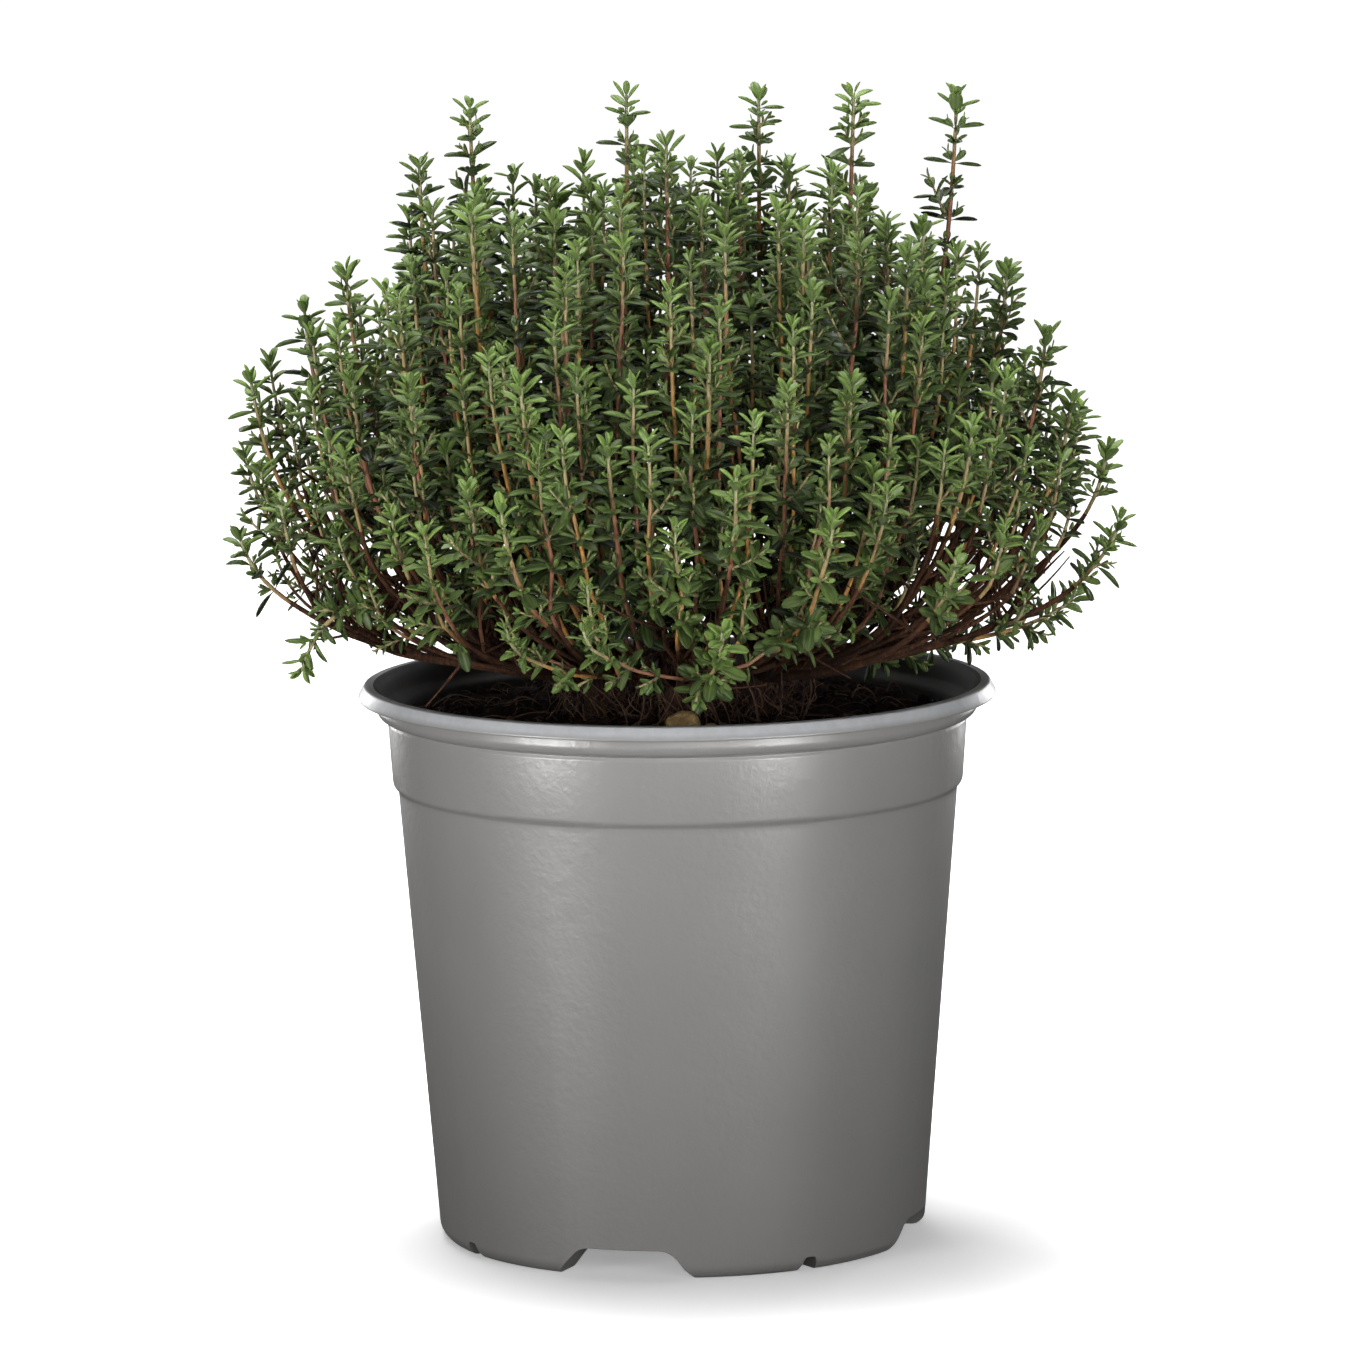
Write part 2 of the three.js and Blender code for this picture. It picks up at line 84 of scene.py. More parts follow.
# Each stone's place on the peat, its radii, and its turn in radians.
STONES = {
    "stone_large": ((1.0, -33.0), (3.5, 3.0, 2.7), 0.4),
    "stone_small": ((6.6, -35.0), (2.2, 1.7, 1.5), 1.1),
}
PLANTS, PLANT_CIRCLE, FIRST_PLANT = 6, 19.0, math.radians(-90)
STOCK_DEPTH, STOCK_HEIGHT = 20.0, 7.0
OUTLINE_TIPS = [
    (-41, 15, 230), (-51, 0, 220), (-9, 5, 233), (-1, -25, 226), (18, 25, 231), (37, 5, 233),
    (58, 10, 232), (68, 5, 197), (75, -10, 185), (-66, -5, 199), (-75, 8, 190), (-86, 5, 176),
    (80, -14, 172), (88, 3, 160), (90, -8, 147), (-88, -12, 146), (82, 10, 130),
]
NEAR_TIPS = [
    (-40, -30, 213), (11, -18, 213), (26, -34, 209), (-22, -36, 198), (7, -55, 188),
    (35, -53, 181), (50, -30, 198), (59, -44, 171), (55, -62, 147), (31, -68, 156),
    (12, -70, 164), (-13, -64, 170), (-30, -60, 182), (-64, -36, 180), (-34, -66, 158),
    (-56, -50, 155), (9, -72, 134),
]
HANGING_TIPS = [(-75, -30, 121)]
FAR_COUNT, FAR_SPACING, FAR_JITTER, FAR_SEED = 15, 13.0, 5.0, 20240517
HANGING_LENGTH = 22.0

# ---------------------------------------------------------------- the bush and the peat
# How high the bush stands at a distance from the pot's middle, from the photograph.
CROWN_SKIN = (0, 26, 43, 56, 65, 73, 80, 86), (223, 222, 219, 210, 198, 188, 177, 163)
CROWN_REACH = (86.0, 74.0)
# Sprigs tried in the crown, in the layer under it, at the flanks and low on the near side.
CROWN_SPRIGS, UNDER_SPRIGS, FLANK_SPRIGS, LOW_SPRIGS = 190, 96, 66, 20
# Heights between which a stem's leaves start, on the near side and elsewhere.
LEAF_START_FRONT, LEAF_START_REST = (120.0, 146.0), (136.0, 158.0)
# How much higher they may start at the flanks; at 0 it only keeps the order of the draws.
LEAF_RISE_FLANK = 0.0
# Tips under LOW_TIP are small and get painted shade, and stems fork off each other below FORK_HEIGHT.
LOW_TIP, FORK_HEIGHT = 146.0, 126.0
PEAT_RADIUS = 57.0
# Radius and height down the peat's side and in under it.
PEAT_SIDE = ((57.0, 100.0), (56.4, 96.0), (55.5, 92.0), (48.7, 6.6), (10.0, 6.6), (0.3, 6.6))
CRUMBS, RUFF_STRANDS = 420, 90
# The pot's edges are sharp where they turn by this many degrees; above a height, in millimetres,
# its inside takes a share of painted shade, mixed towards dark peat.
SHARP_TURN, INSIDE_SHADE_FROM, INSIDE_SHADE_SHARE = 38, 80, 0.94

UP = np.array((0.0, 0.0, 1.0))


# ---------------------------------------------------------------- numbers
def unit(vector):
    """A vector at length one."""
    return vector / max(1e-9, float(np.linalg.norm(vector)))


def draws(seed):
    """The solids' own generator, so that the same tips come out of the same rule."""
    while True:
        seed = (seed * 1664525 + 1013904223) % 2**32
        yield seed / 2**32


def lattice(cells):
    """A repeatable random number from 0 to 1 for each whole-numbered cell (n, 3)."""
    mixed = (cells * np.array((127.1, 311.7, 74.7))).sum(-1)
    return np.modf(np.abs(np.sin(mixed) * 43758.5453))[0]


def soft_noise(points, grain):
    """Smooth noise from 0 to 1 at points (n, 3), with bumps about grain across."""
    scaled = np.asarray(points, float) / grain
    low = np.floor(scaled)
    part = scaled - low
    part = part * part * (3 - 2 * part)
    total = 0
    for corner in np.ndindex(2, 2, 2):
        share = np.prod(np.where(corner, part, 1 - part), axis=-1)
        total = total + share * lattice(low + corner)
    return total


def read(table, place):
    """A table's value at a place, straight between the places that it lists."""
    return float(np.interp(place, *table))


def nth(table, index):
    """A table's entry, or its last one past the end."""
    return table[min(index, len(table) - 1)]


# ---------------------------------------------------------------- meshes
def linked(name, data):
    """An object of its own in the scene."""
    made = bpy.data.objects.new(name, data)
    bpy.context.scene.collection.objects.link(made)
    return made


def settled(made, mesh):
    """The mesh that takes over a bmesh's shape; the bmesh is freed."""
    made.to_mesh(mesh)
    made.free()
    return mesh


def mesh_object(name, points, quads, traits=None, materials=(), slots=None, triangles=None):
    """A smooth mesh object from points in millimetres and arrays of four- and three-sided faces."""
    quads = np.asarray(quads, np.int32).reshape(-1, 4)
    three = np.asarray(triangles if triangles is not None else [], np.int32).reshape(-1, 3)
    mesh = bpy.data.meshes.new(name)
    mesh.vertices.add(len(points))
    mesh.vertices.foreach_set("co", (np.asarray(points, np.float32) * MM).ravel())
    mesh.loops.add(quads.size + three.size)
    mesh.loops.foreach_set("vertex_index", np.concatenate([quads.ravel(), three.ravel()]))
    mesh.polygons.add(len(quads) + len(three))
    starts = np.concatenate([np.arange(len(quads)) * 4, quads.size + np.arange(len(three)) * 3])
    mesh.polygons.foreach_set("loop_start", starts.astype(np.int32))
    mesh.update(calc_edges=True)
    mesh.polygons.foreach_set("use_smooth", np.ones(len(mesh.polygons), bool))
    for material in materials:
        mesh.materials.append(material)
    if slots is not None:
        mesh.polygons.foreach_set("material_index", np.asarray(slots, np.int32))
    if traits is not None:
        layer = mesh.attributes.new("trait", "FLOAT_COLOR", "POINT")
        layer.data.foreach_set("color", np.asarray(traits, np.float32).ravel())
    mesh.validate()
    mesh.update()
    return linked(name, mesh)


def ride_for(piece, slot, *nodes):
    """Lets a piece ride on the part's one body, in the place of its solids."""
    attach(piece, "root")
    if nodes:
        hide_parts(*nodes)


class Heap:
    """Points, faces, traits and material slots of a piece, gathered bit by bit."""

    def __init__(self):
        self.points, self.quads, self.traits, self.slots = [], [], [], []
        self.count = 0

    def add(self, points, quads, traits, slot):
        points = np.asarray(points, float).reshape(-1, 3)
        quads = np.asarray(quads, np.int64).reshape(-1, 4)
        self.points.append(points)
        self.quads.append(quads + self.count)
        self.traits.append(np.broadcast_to(traits, (len(points), 4)))
        self.slots.append(np.full(len(quads), slot))
        self.count += len(points)

    def piece(self, name, materials):
        return mesh_object(
            name,
            np.concatenate(self.points),
            np.concatenate(self.quads),
            np.concatenate(self.traits),
            materials,
            np.concatenate(self.slots),
        )


def tube_faces(rings, sides):
    """Four-sided faces between rings of a tube, as indices into its points."""
    i, j = np.meshgrid(np.arange(rings - 1), np.arange(sides), indexing="ij")
    low, nxt = i * sides + j, i * sides + (j + 1) % sides
    return np.stack([low, nxt, nxt + sides, low + sides], -1).reshape(-1, 4)


def tube(path, radii, sides, roughness=0.0, seed=0.0):
    """A tube round a path (n, 3) whose two ends close to a point; radii may differ by ring."""
    path = np.asarray(path, float)
    radii = np.broadcast_to(np.asarray(radii, float), len(path)).copy()
    along = np.gradient(path, axis=0)
    along /= np.linalg.norm(along, axis=1, keepdims=True).clip(1e-9)
    side = np.cross(UP, along)
    flat = np.linalg.norm(side, axis=1) < 0.05
    side[flat] = np.cross((1.0, 0.0, 0.0), along[flat])
    side /= np.linalg.norm(side, axis=1, keepdims=True).clip(1e-9)
    square = np.cross(along, side)
    angles = np.arange(sides) * 2 * math.pi / sides
    ring = np.cos(angles)[None, :, None] * side[:, None] + np.sin(angles)[None, :, None] * square[:, None]
    if roughness:
        places = path[:, None] + ring * radii[:, None, None]
        bumps = soft_noise(places.reshape(-1, 3) * (1, 1, 0.45) + seed, 1.1).reshape(len(path), sides)
        radii = radii[:, None] * (1 + roughness * (bumps - 0.5) * 2)
    else:
        radii = np.repeat(radii[:, None], sides, 1)
    points = path[:, None] + ring * radii[..., None]
    ends = [path[:1, None] + ring[:1] * 0.02, points, path[-1:, None] + ring[-1:] * 0.02]
    points = np.concatenate([np.broadcast_to(e, (len(e), sides, 3)) for e in ends]).reshape(-1, 3)
    return points, tube_faces(len(path) + 2, sides)


def stem_traits(chance, ages, sides):
    """Traits of a tube with its two ends: one chance for all of it, and an age for each ring."""
    rings = np.concatenate([ages[:1], ages, ages[-1:]])
    traits = np.zeros((len(rings) * sides, 4))
    traits[:, 0], traits[:, 1] = chance, np.repeat(rings, sides)
    return traits


# ---------------------------------------------------------------- the lie of the stems
def soil_height(x, y):
    """Height of the peat's smooth heap."""
    share = np.minimum(1.0, np.hypot(x, y) / LIP_MOUTH)
    ripple = np.sin(x * 0.31 + 1) * np.cos(y * 0.27) + 0.6 * np.sin(x * 0.17 - y * 0.43)
    return SOIL_EDGE + SOIL_HEAP * (1 - share**2) + SOIL_LUMP * ripple * (1 - share**4)


def scattered(rng, reach):
    """A place drawn evenly from a disc round the axis, and its distance from the axis."""
    radius, angle = math.sqrt(rng.random()) * reach, rng.uniform(0, 2 * math.pi)
    return radius * math.cos(angle), radius * math.sin(angle), radius


def plant_roots():
    """Tops of the six stocks, in a ring."""
    angles = FIRST_PLANT + np.arange(PLANTS) * 2 * math.pi / PLANTS
    x, y = np.cos(angles) * PLANT_CIRCLE, np.sin(angles) * PLANT_CIRCLE
    return np.stack([x, y, soil_height(x, y) + STOCK_HEIGHT], -1)


def far_tips(taken):
    """The near side's tips turned half round and moved a little, where they have room."""
    found, numbers = [], draws(FAR_SEED)
    for x, y, z in NEAR_TIPS:
        tip = [value + (next(numbers) * 2 - 1) * FAR_JITTER for value in (-x, -y, z)]
        apart = all(math.dist(tip, other) > FAR_SPACING for other in [*taken, *found])
        if apart and len(found) < FAR_COUNT:
            found.append(tuple(tip))
    return found


def lead_tips():
    """The tips of the sprigs that are solids too, in the order of their nodes."""
    pictured = [*OUTLINE_TIPS, *NEAR_TIPS, *HANGING_TIPS]
    return [*pictured, *far_tips(pictured)]


def nearest_plant(roots, tip):
    """Number of the plant whose direction from the axis is nearest to a tip's."""
    turns = math.atan2(tip[1], tip[0]) - np.arctan2(roots[:, 1], roots[:, 0])
    return int(np.argmin(np.abs(np.arctan2(np.sin(turns), np.cos(turns)))))


class Stem:
    """A stem's centreline, from its stock low outwards and then up to its tip."""

    def __init__(self, root, tip, hanging=False, sway=0.0, rng=None, low=0.08):
        tip = np.array(tip, float)
        outward = np.array((tip[0] - root[0], tip[1] - root[1], 0.0))
        run, rise = float(np.linalg.norm(outward)), tip[2] - root[2]
        outward = unit(outward)
        self.side = np.cross(UP, outward)

        def point(out, high):
            return root + outward * out + UP * high

        middle = [point(run * 0.62, rise * low + run * 0.03), point(run * 0.94, rise * 0.46)]
        if hanging:
            middle = [point(run * 0.5, rise + 14), point(run * 0.9, rise + 22)]
        t = np.linspace(0, 1, 161)[:, None]
        a, b, c, d = root, *middle, tip
        self.path = a * (1 - t) ** 3 + 3 * b * t * (1 - t) ** 2 + 3 * c * t**2 * (1 - t) + d * t**3
        if sway:
            share = t[:, 0]
            turns = rng.uniform(0, 2 * math.pi, 4)
            bend = np.sin(share * 7 + turns[0]) + 0.5 * np.sin(share * 17 + turns[1])
            lean = np.sin(share * 8 + turns[2]) + 0.5 * np.sin(share * 15 + turns[3])
            held = np.minimum(1, share * 4) * np.minimum(1, (1 - share) * 3)
            self.path += np.outer(bend * held * sway, self.side) + np.outer(lean * held * sway, outward)
        steps = np.linalg.norm(np.diff(self.path, axis=0), axis=1)
        self.reach = np.concatenate([[0], np.cumsum(steps)])
        self.length = float(self.reach[-1])

    def at(self, distance):
        """Places at distances from the foot."""
        distance = np.atleast_1d(distance)
        return np.stack([np.interp(distance, self.reach, self.path[:, k]) for k in range(3)], -1)

    def frame(self, from_tip, twist):
        """The place at a distance from the tip, with three square directions there."""
        distance = self.length - from_tip
        low, high = self.at([max(0, distance - 0.6), min(self.length, distance + 0.6)])
        along = unit(high - low)
        square = unit(np.cross(self.side, along))
        side = unit(np.cross(along, square))
        across = side * math.cos(twist) + square * math.sin(twist)
        return self.at(distance)[0], along, across, np.cross(along, across)


# ---------------------------------------------------------------- leaves
LEAF_ROWS = np.array((0.0, 0.12, 0.28, 0.48, 0.68, 0.86, 1.0))
LEAF_OUTLINE = np.array((0.16, 0.26, 0.7, 0.98, 1.0, 0.84, 0.3))
SMALL_ROWS = np.array((0.0, 0.25, 0.55, 0.82, 1.0))
SMALL_OUTLINE = np.array((0.2, 0.74, 1.0, 0.84, 0.28))
# Across a leaf, from one rolled edge over the top to the other and back under the midrib:
# place across, height, and cover, which is 1 on the blade, 0.5 on the midrib and 0 below.
LEAF_SECTION = [
    (-1.0, -0.32, 1.0), (-0.84, 0.02, 0.9), (-0.42, 0.2, 0.7), (0.0, -0.12, 0.5),
    (0.42, 0.2, 0.7), (0.84, 0.02, 0.9), (1.0, -0.32, 1.0), (0.0, -0.42, 0.0),
]
SMALL_SECTION = [
    (-1.0, -0.2, 1.0), (-0.52, 0.18, 0.7), (0.0, -0.1, 0.5), (0.52, 0.18, 0.7), (1.0, -0.2, 1.0),
    (0.0, -0.4, 0.0),
]
TINY_ROWS = np.array((0.0, 0.32, 0.72, 1.0))
TINY_OUTLINE = np.array((0.24, 0.88, 1.0, 0.36))
TINY_SECTION = [(-1.0, 0.1, 1.0), (0.0, -0.12, 0.5), (1.0, 0.1, 1.0), (0.0, -0.4, 0.0)]


def leaf_template(rows, outline, section):
    """Unit leaf: place along (0-1), place across, height, cover, and its faces."""
    across, height, cover = (np.array(values) for values in zip(*section))
    along = np.repeat(rows, len(section))
    width = np.outer(outline, across).ravel()
    high = np.outer(outline, height).ravel()
    return along, width, high, np.tile(cover, len(rows)), tube_faces(len(rows), len(section))


LEAF = leaf_template(LEAF_ROWS, LEAF_OUTLINE, LEAF_SECTION)
SMALL_LEAF = leaf_template(SMALL_ROWS, SMALL_OUTLINE, SMALL_SECTION)
TINY_LEAF = leaf_template(TINY_ROWS, TINY_OUTLINE, TINY_SECTION)


class Leaves:
    """Leaves of one template, kept as numbers until they are all turned into points at once."""

    def __init__(self, template):
        self.template, self.rows = template, []

    def add(self, root, way, along, length, width, bend, youth, chance):
        """A leaf that points one way, its top towards along, and bends back as it goes."""
        side = unit(np.cross(along, way))
        top = np.cross(way, side)
        self.rows.append((*root, *way, *side, *top, length, width, bend, youth, chance))

    def pour(self, heap, slot):
        """Turns the leaves into points and adds them to a heap."""
        if not self.rows:
            return
        along, width, high, cover, faces = self.template
        data = np.array(self.rows)
        root, way, side, top = (data[:, None, i : i + 3] for i in (0, 3, 6, 9))
        length, broad, bend, youth, chance = (data[:, i : i + 1] for i in range(12, 17))
        turn = bend * (0.5 - along)
        x = length / bend * (np.sin(bend / 2) - np.sin(turn))
        z = length / bend * (np.cos(turn) - np.cos(bend / 2))
        y = width * broad / 2
        rise = high * broad / 2 + np.abs(y) * 0.3
        x, z = x + rise * np.sin(turn) * -1, z + rise * np.cos(turn)
        points = root + way * x[..., None] + side * y[..., None] + top * z[..., None]
        traits = np.stack(np.broadcast_arrays(chance, youth, along, cover), -1)
        count = len(along)
        quads = faces[None] + (np.arange(len(data)) * count)[:, None, None]
        heap.add(points, quads, traits.reshape(-1, 4), slot)


def joints(leafy, rng, growth, widest):
    """Distances of the leaf joints from the tip: crowded at first, then wider and wider."""
    distances, step, at = [], 1.0, 0.3
    while at < leafy - 1.0:
        distances.append(at)
        at += step * rng.uniform(0.88, 1.12)
        step = min(widest * rng.uniform(0.88, 1.12), step * growth + 0.1)
    return distances


def lifted(along, out, rise):
    """The direction out, lifted from square to the stem towards its tip, in degrees."""
    rise = math.radians(rise)
    return unit(out * math.cos(rise) + along * math.sin(rise))


# Of a side shoot's pairs of leaves, from the tip downwards: size, rise in degrees, added youth.
SHOOT_SIZES, SHOOT_YOUTH = (0.5, 0.74, 0.9, 1.0), (0.3, 0.18, 0.08, 0)
SHOOT_RISES = (62, 44, 34, 26, 20, 16, 14)


def add_side_shoot(heap, leaves, at, along, out, across, reach, size, youth, rng):
    """Side shoot in a leaf's axil: a tuft of small leaves, or a short twig with several pairs."""
    way = lifted(along, out, rng.uniform(38, 56))
    square = unit(np.cross(way, across))
    turn = rng.normal(0, 0.25)
    first = unit(across * math.cos(turn) + square * math.sin(turn))
    second = np.cross(way, first)
    pairs = 1 + int(reach / 1.5)
    if reach > 2.6:
        share = np.linspace(0, 1, 3)[:, None]
        path = at + way * share * reach + along * share**2 * reach * 0.25
        heap.add(*tube(path, np.array((0.34, 0.28, 0.22)), 4), (rng.random(), 0.06, 0, 0), 1)
    for index in range(pairs):
        share = (index + 0.4) / pairs
        root = at + way * reach * share + along * share**2 * reach * 0.25
        direction = first if index % 2 == 0 else second
        below_tip = pairs - 1 - index
        young = min(1.0, youth + nth(SHOOT_YOUTH, below_tip))
        for sign in (1, -1):
            rise = nth(SHOOT_RISES, below_tip) + rng.normal(0, 9)
            length = nth(SHOOT_SIZES, below_tip) * size * rng.uniform(0.85, 1.12)
            leaves.add(root, lifted(way, direction * sign, rise), way, length,
                       length * rng.uniform(0.37, 0.45), rng.uniform(0.2, 0.8), young, rng.random())


# By distance from a sprig's tip: the stem's radius and how deep its axils lie; a leaf's growth,
# rise in degrees, youth and share of its full tone; a side shoot's reach and its leaves' length.
STEM_RADIUS = (0, 6, 20, 50, 100), (0.34, 0.43, 0.5, 0.54, 0.6)
AXIL_DEPTH = (0, 30, 60), (0.3, 0.5, 0.6)
LEAF_GROWTH = (0.3, 1.2, 3, 6, 14), (0.5, 0.74, 0.88, 0.97, 1.05)
LEAF_RISE = (0, 1.4, 4, 9, 18, 40, 70), (66, 42, 24, 12, 3, -5, -9)
LEAF_YOUTH = (0, 3, 9, 24), (1.0, 0.75, 0.3, 0.04)
# The share of full tone falls down the stem partly with age and partly as painted shade deep in the bush.
LEAF_AGE_AND_SHADE = (6, 36), (1.0, 0.4)
SHOOT_REACH = (2, 6, 14, 30, 60), (0.6, 1.9, 3.0, 3.6, 2.6)
SHOOT_LEAF = (2, 6, 18), (2.7, 3.6, 4.0)
LEAF_LENGTH = 6.0
# From a distance from the tip on: the share of leaves lost, and of side shoots grown into twigs.
LOST_FROM, LOST_SHARE, TWIG_FROM, TWIG_SHARE = 35, 0.12, 16, 0.22
# Painted shade: the share of its tone that a sprig low or inside the bush keeps.
PAINTED_SHADE = 0.45  # share of its tone that a shaded sprig keeps
# Sprigs on the near side are younger and yellower than those behind: place along y, youth.
NEAR_SIDE_YOUTH = (-60, -20), (0.08, -0.05)


def add_sprig(heap, stem, leafy, rng, vigour=1.0, lead=True, in_painted_shade=False):
    """Leafy top of a stem: the square stem, its opposite leaves, and shoots in their axils."""
    big, small = (Leaves(LEAF), Leaves(SMALL_LEAF)) if lead else (Leaves(SMALL_LEAF), Leaves(TINY_LEAF))
    chance, freshness = rng.random(), rng.normal(read(NEAR_SIDE_YOUTH, stem.path[-1][1]), 0.1)
    twist = rng.uniform(0, math.pi / 2)
    from_tip = np.concatenate([np.arange(0, leafy, 2.6), [leafy]])
    radius = np.interp(from_tip, *STEM_RADIUS) * (1.0 if lead else 0.8)
    skin = tube(stem.at(stem.length - from_tip), radius, 6)
    heap.add(*skin, stem_traits(chance, from_tip / 120, 6), 1)
    bushy = rng.uniform(0.7, 1.3) * (1.15 if lead else 1.0)
    # Sprigs between the leading ones take a darker range of tone, partly at random and partly as painted
    # shade.
    tone = rng.uniform(0.7, 1.1) if lead else rng.uniform(0.3, 0.95)
    spacing = (1.27, 6.6) if lead else (1.33, 7.2)
    for index, distance in enumerate(joints(leafy, rng, *spacing)):
        at, along, across, front = stem.frame(distance, twist + rng.normal(0, 0.15))
        out, other = (across, front) if index % 2 else (front, -across)
        length = LEAF_LENGTH * read(LEAF_GROWTH, distance) * vigour * rng.uniform(0.9, 1.1)
        rise = read(LEAF_RISE, distance)
        youth = float(np.clip(read(LEAF_YOUTH, distance) + freshness, 0, 1))
        # Leaves darken down the stem, partly with age and partly as painted shade, and most on sprigs given
        # painted shade.
        fading_and_shade = read(LEAF_AGE_AND_SHADE, distance) * (PAINTED_SHADE if in_painted_shade else 1.0) * tone
        for way_out, aside in ((out, other), (-out, -other)):
            lost = distance > LOST_FROM and rng.random() < LOST_SHARE
            root = at + way_out * read(AXIL_DEPTH, distance) * 0.6
            if not lost:
                tilt = aside * rng.normal(0, 0.2)
                way = lifted(along, unit(way_out + tilt), rise + rng.normal(0, 11))
                one = length * rng.uniform(0.92, 1.08)
                big.add(root, way, along, one, one * rng.uniform(0.38, 0.46),
                        rng.uniform(0.25, 0.95), youth, rng.random() * fading_and_shade)
            if distance > 2.2:
                reach = read(SHOOT_REACH, distance) * rng.uniform(0.5, 1.3) * bushy
                if distance > TWIG_FROM and rng.random() < TWIG_SHARE:
                    reach += rng.uniform(2, 7)
                size = vigour * read(SHOOT_LEAF, distance) + min(reach, 6) * 0.16
                young = float(np.clip(youth + 0.15 + rng.normal(0, 0.08), 0, 1))
                add_side_shoot(heap, small, root + along * 0.3, along, way_out, aside,
                               reach, size, young, rng)
    for leaves in (big, small):
        leaves.pour(heap, 0)


# ---------------------------------------------------------------- where the filling sprigs go
def crown_tips(count, rng, reach, drop, start, least):
    """Tips on a sunflower spiral under the crown, each a little lower than its skin."""
    tips = []
    golden = math.pi * (3 - math.sqrt(5))
    for index in range(count):
        share = math.sqrt(least**2 + (1 - least**2) * (index + 0.5) / count)
        angle = start + index * golden
        x = math.cos(angle) * reach[0] * share + rng.uniform(-3.5, 3.5)
        y = math.sin(angle) * reach[1] * share + rng.uniform(-3.5, 3.5)
        away = math.hypot(x, y * CROWN_REACH[0] / CROWN_REACH[1])
        tips.append((x, y, read(CROWN_SKIN, away) - rng.uniform(*drop)))
    return tips


def clear_of(tips, taken, apart):
    """The tips that keep apart from those taken and from each other."""
    kept = []
    for tip in tips:
        if all(math.dist(tip, other) > apart for other in [*taken, *kept]):
            kept.append(tip)
    return kept


def fill_tips(leads, rng, amount):
    """Tips of the sprigs between the leading ones: the crown, the layer under it, low shoots."""
    crown = crown_tips(int(CROWN_SPRIGS * amount), rng, CROWN_REACH, (0, 15), 0.3, 0.03)
    under = crown_tips(int(UNDER_SPRIGS * amount), rng, (72, 62), (24, 50), 1.1, 0.3)
    low = crown_tips(int(LOW_SPRIGS * amount), rng, (70, 60), (50, 66), 2.0, 0.7)
    low = [(x, y, max(z, 130 + rng.uniform(0, 14))) for x, y, z in low if y < -12 and abs(x) > 14]
    flank = []
    for index in range(int(FLANK_SPRIGS * amount)):
        angle, share = index * 2.4 + rng.uniform(-0.2, 0.2), rng.uniform(0.88, 1.0)
        flank.append((math.cos(angle) * 84 * share, math.sin(angle) * 71 * share, rng.uniform(127, 182)))
    tips = clear_of(crown, leads, 6.5)
    tips += clear_of(flank, [*leads, *tips], 7.5)
    return [*tips, *clear_of(under, [*leads, *tips], 8), *clear_of(low, leads, 9)]


# ---------------------------------------------------------------- colours and nodes
def linear(code):
    """An sRGB hex colour as linear RGBA."""
    parts = [int(code[i : i + 2], 16) / 255 for i in (1, 3, 5)]
    return (*(c / 12.92 if c <= 0.04045 else ((c + 0.055) / 1.055) ** 2.4 for c in parts), 1.0)


def node(tree, kind, links=None, stops=None, **settings):
    """A node with its settings, its inputs and its ramp's stops; a node given as an input
    stands for its first output in use."""
    made = tree.nodes.new(kind)
    for name, value in settings.items():
        setattr(made, name, value)
    for name, value in (links or {}).items():
        if isinstance(value, bpy.types.Node):
            value = next(output for output in value.outputs if output.enabled)
        if isinstance(value, bpy.types.NodeSocket):
            tree.links.new(value, made.inputs[name])
        else:
            made.inputs[name].default_value = value
    for index, (position, colour) in enumerate(stops or ()):
        elements = made.color_ramp.elements
        element = elements[index] if index < 2 else elements.new(position)
        element.position, element.color = position, colour
    return made


def new_material(name):
    """A material with an empty tree, and that tree."""
    material = bpy.data.materials.new(name)
    material.use_nodes = True
    material.node_tree.nodes.clear()
    return material, material.node_tree


MIX, MATH, MAP, RAMP = "ShaderNodeMix", "ShaderNodeMath", "ShaderNodeMapRange", "ShaderNodeValToRGB"
NOISE, BUMP, SPLIT = "ShaderNodeTexNoise", "ShaderNodeBump", "ShaderNodeSeparateColor"
COORDS, DRAWN, TRAIT = "ShaderNodeTexCoord", "ShaderNodeMapping", "ShaderNodeAttribute"
PRINCIPLED, OUTPUT = "ShaderNodeBsdfPrincipled", "ShaderNodeOutputMaterial"
SHARE, ONE, OTHER = 0, 6, 7  # inputs of a Mix node set to colours
BLACK, WHITE = (0, 0, 0, 1), (1, 1, 1, 1)


def patches(tree, where, size, detail, low, high, most):
    """A share from 0 to most, in patches of a size in millimetres."""
    noise = node(tree, NOISE, {"Vector": where, "Scale": 1 / (size * MM), "Detail": detail})
    return node(tree, MAP, {"Value": noise, "From Min": low, "From Max": high, "To Max": most})


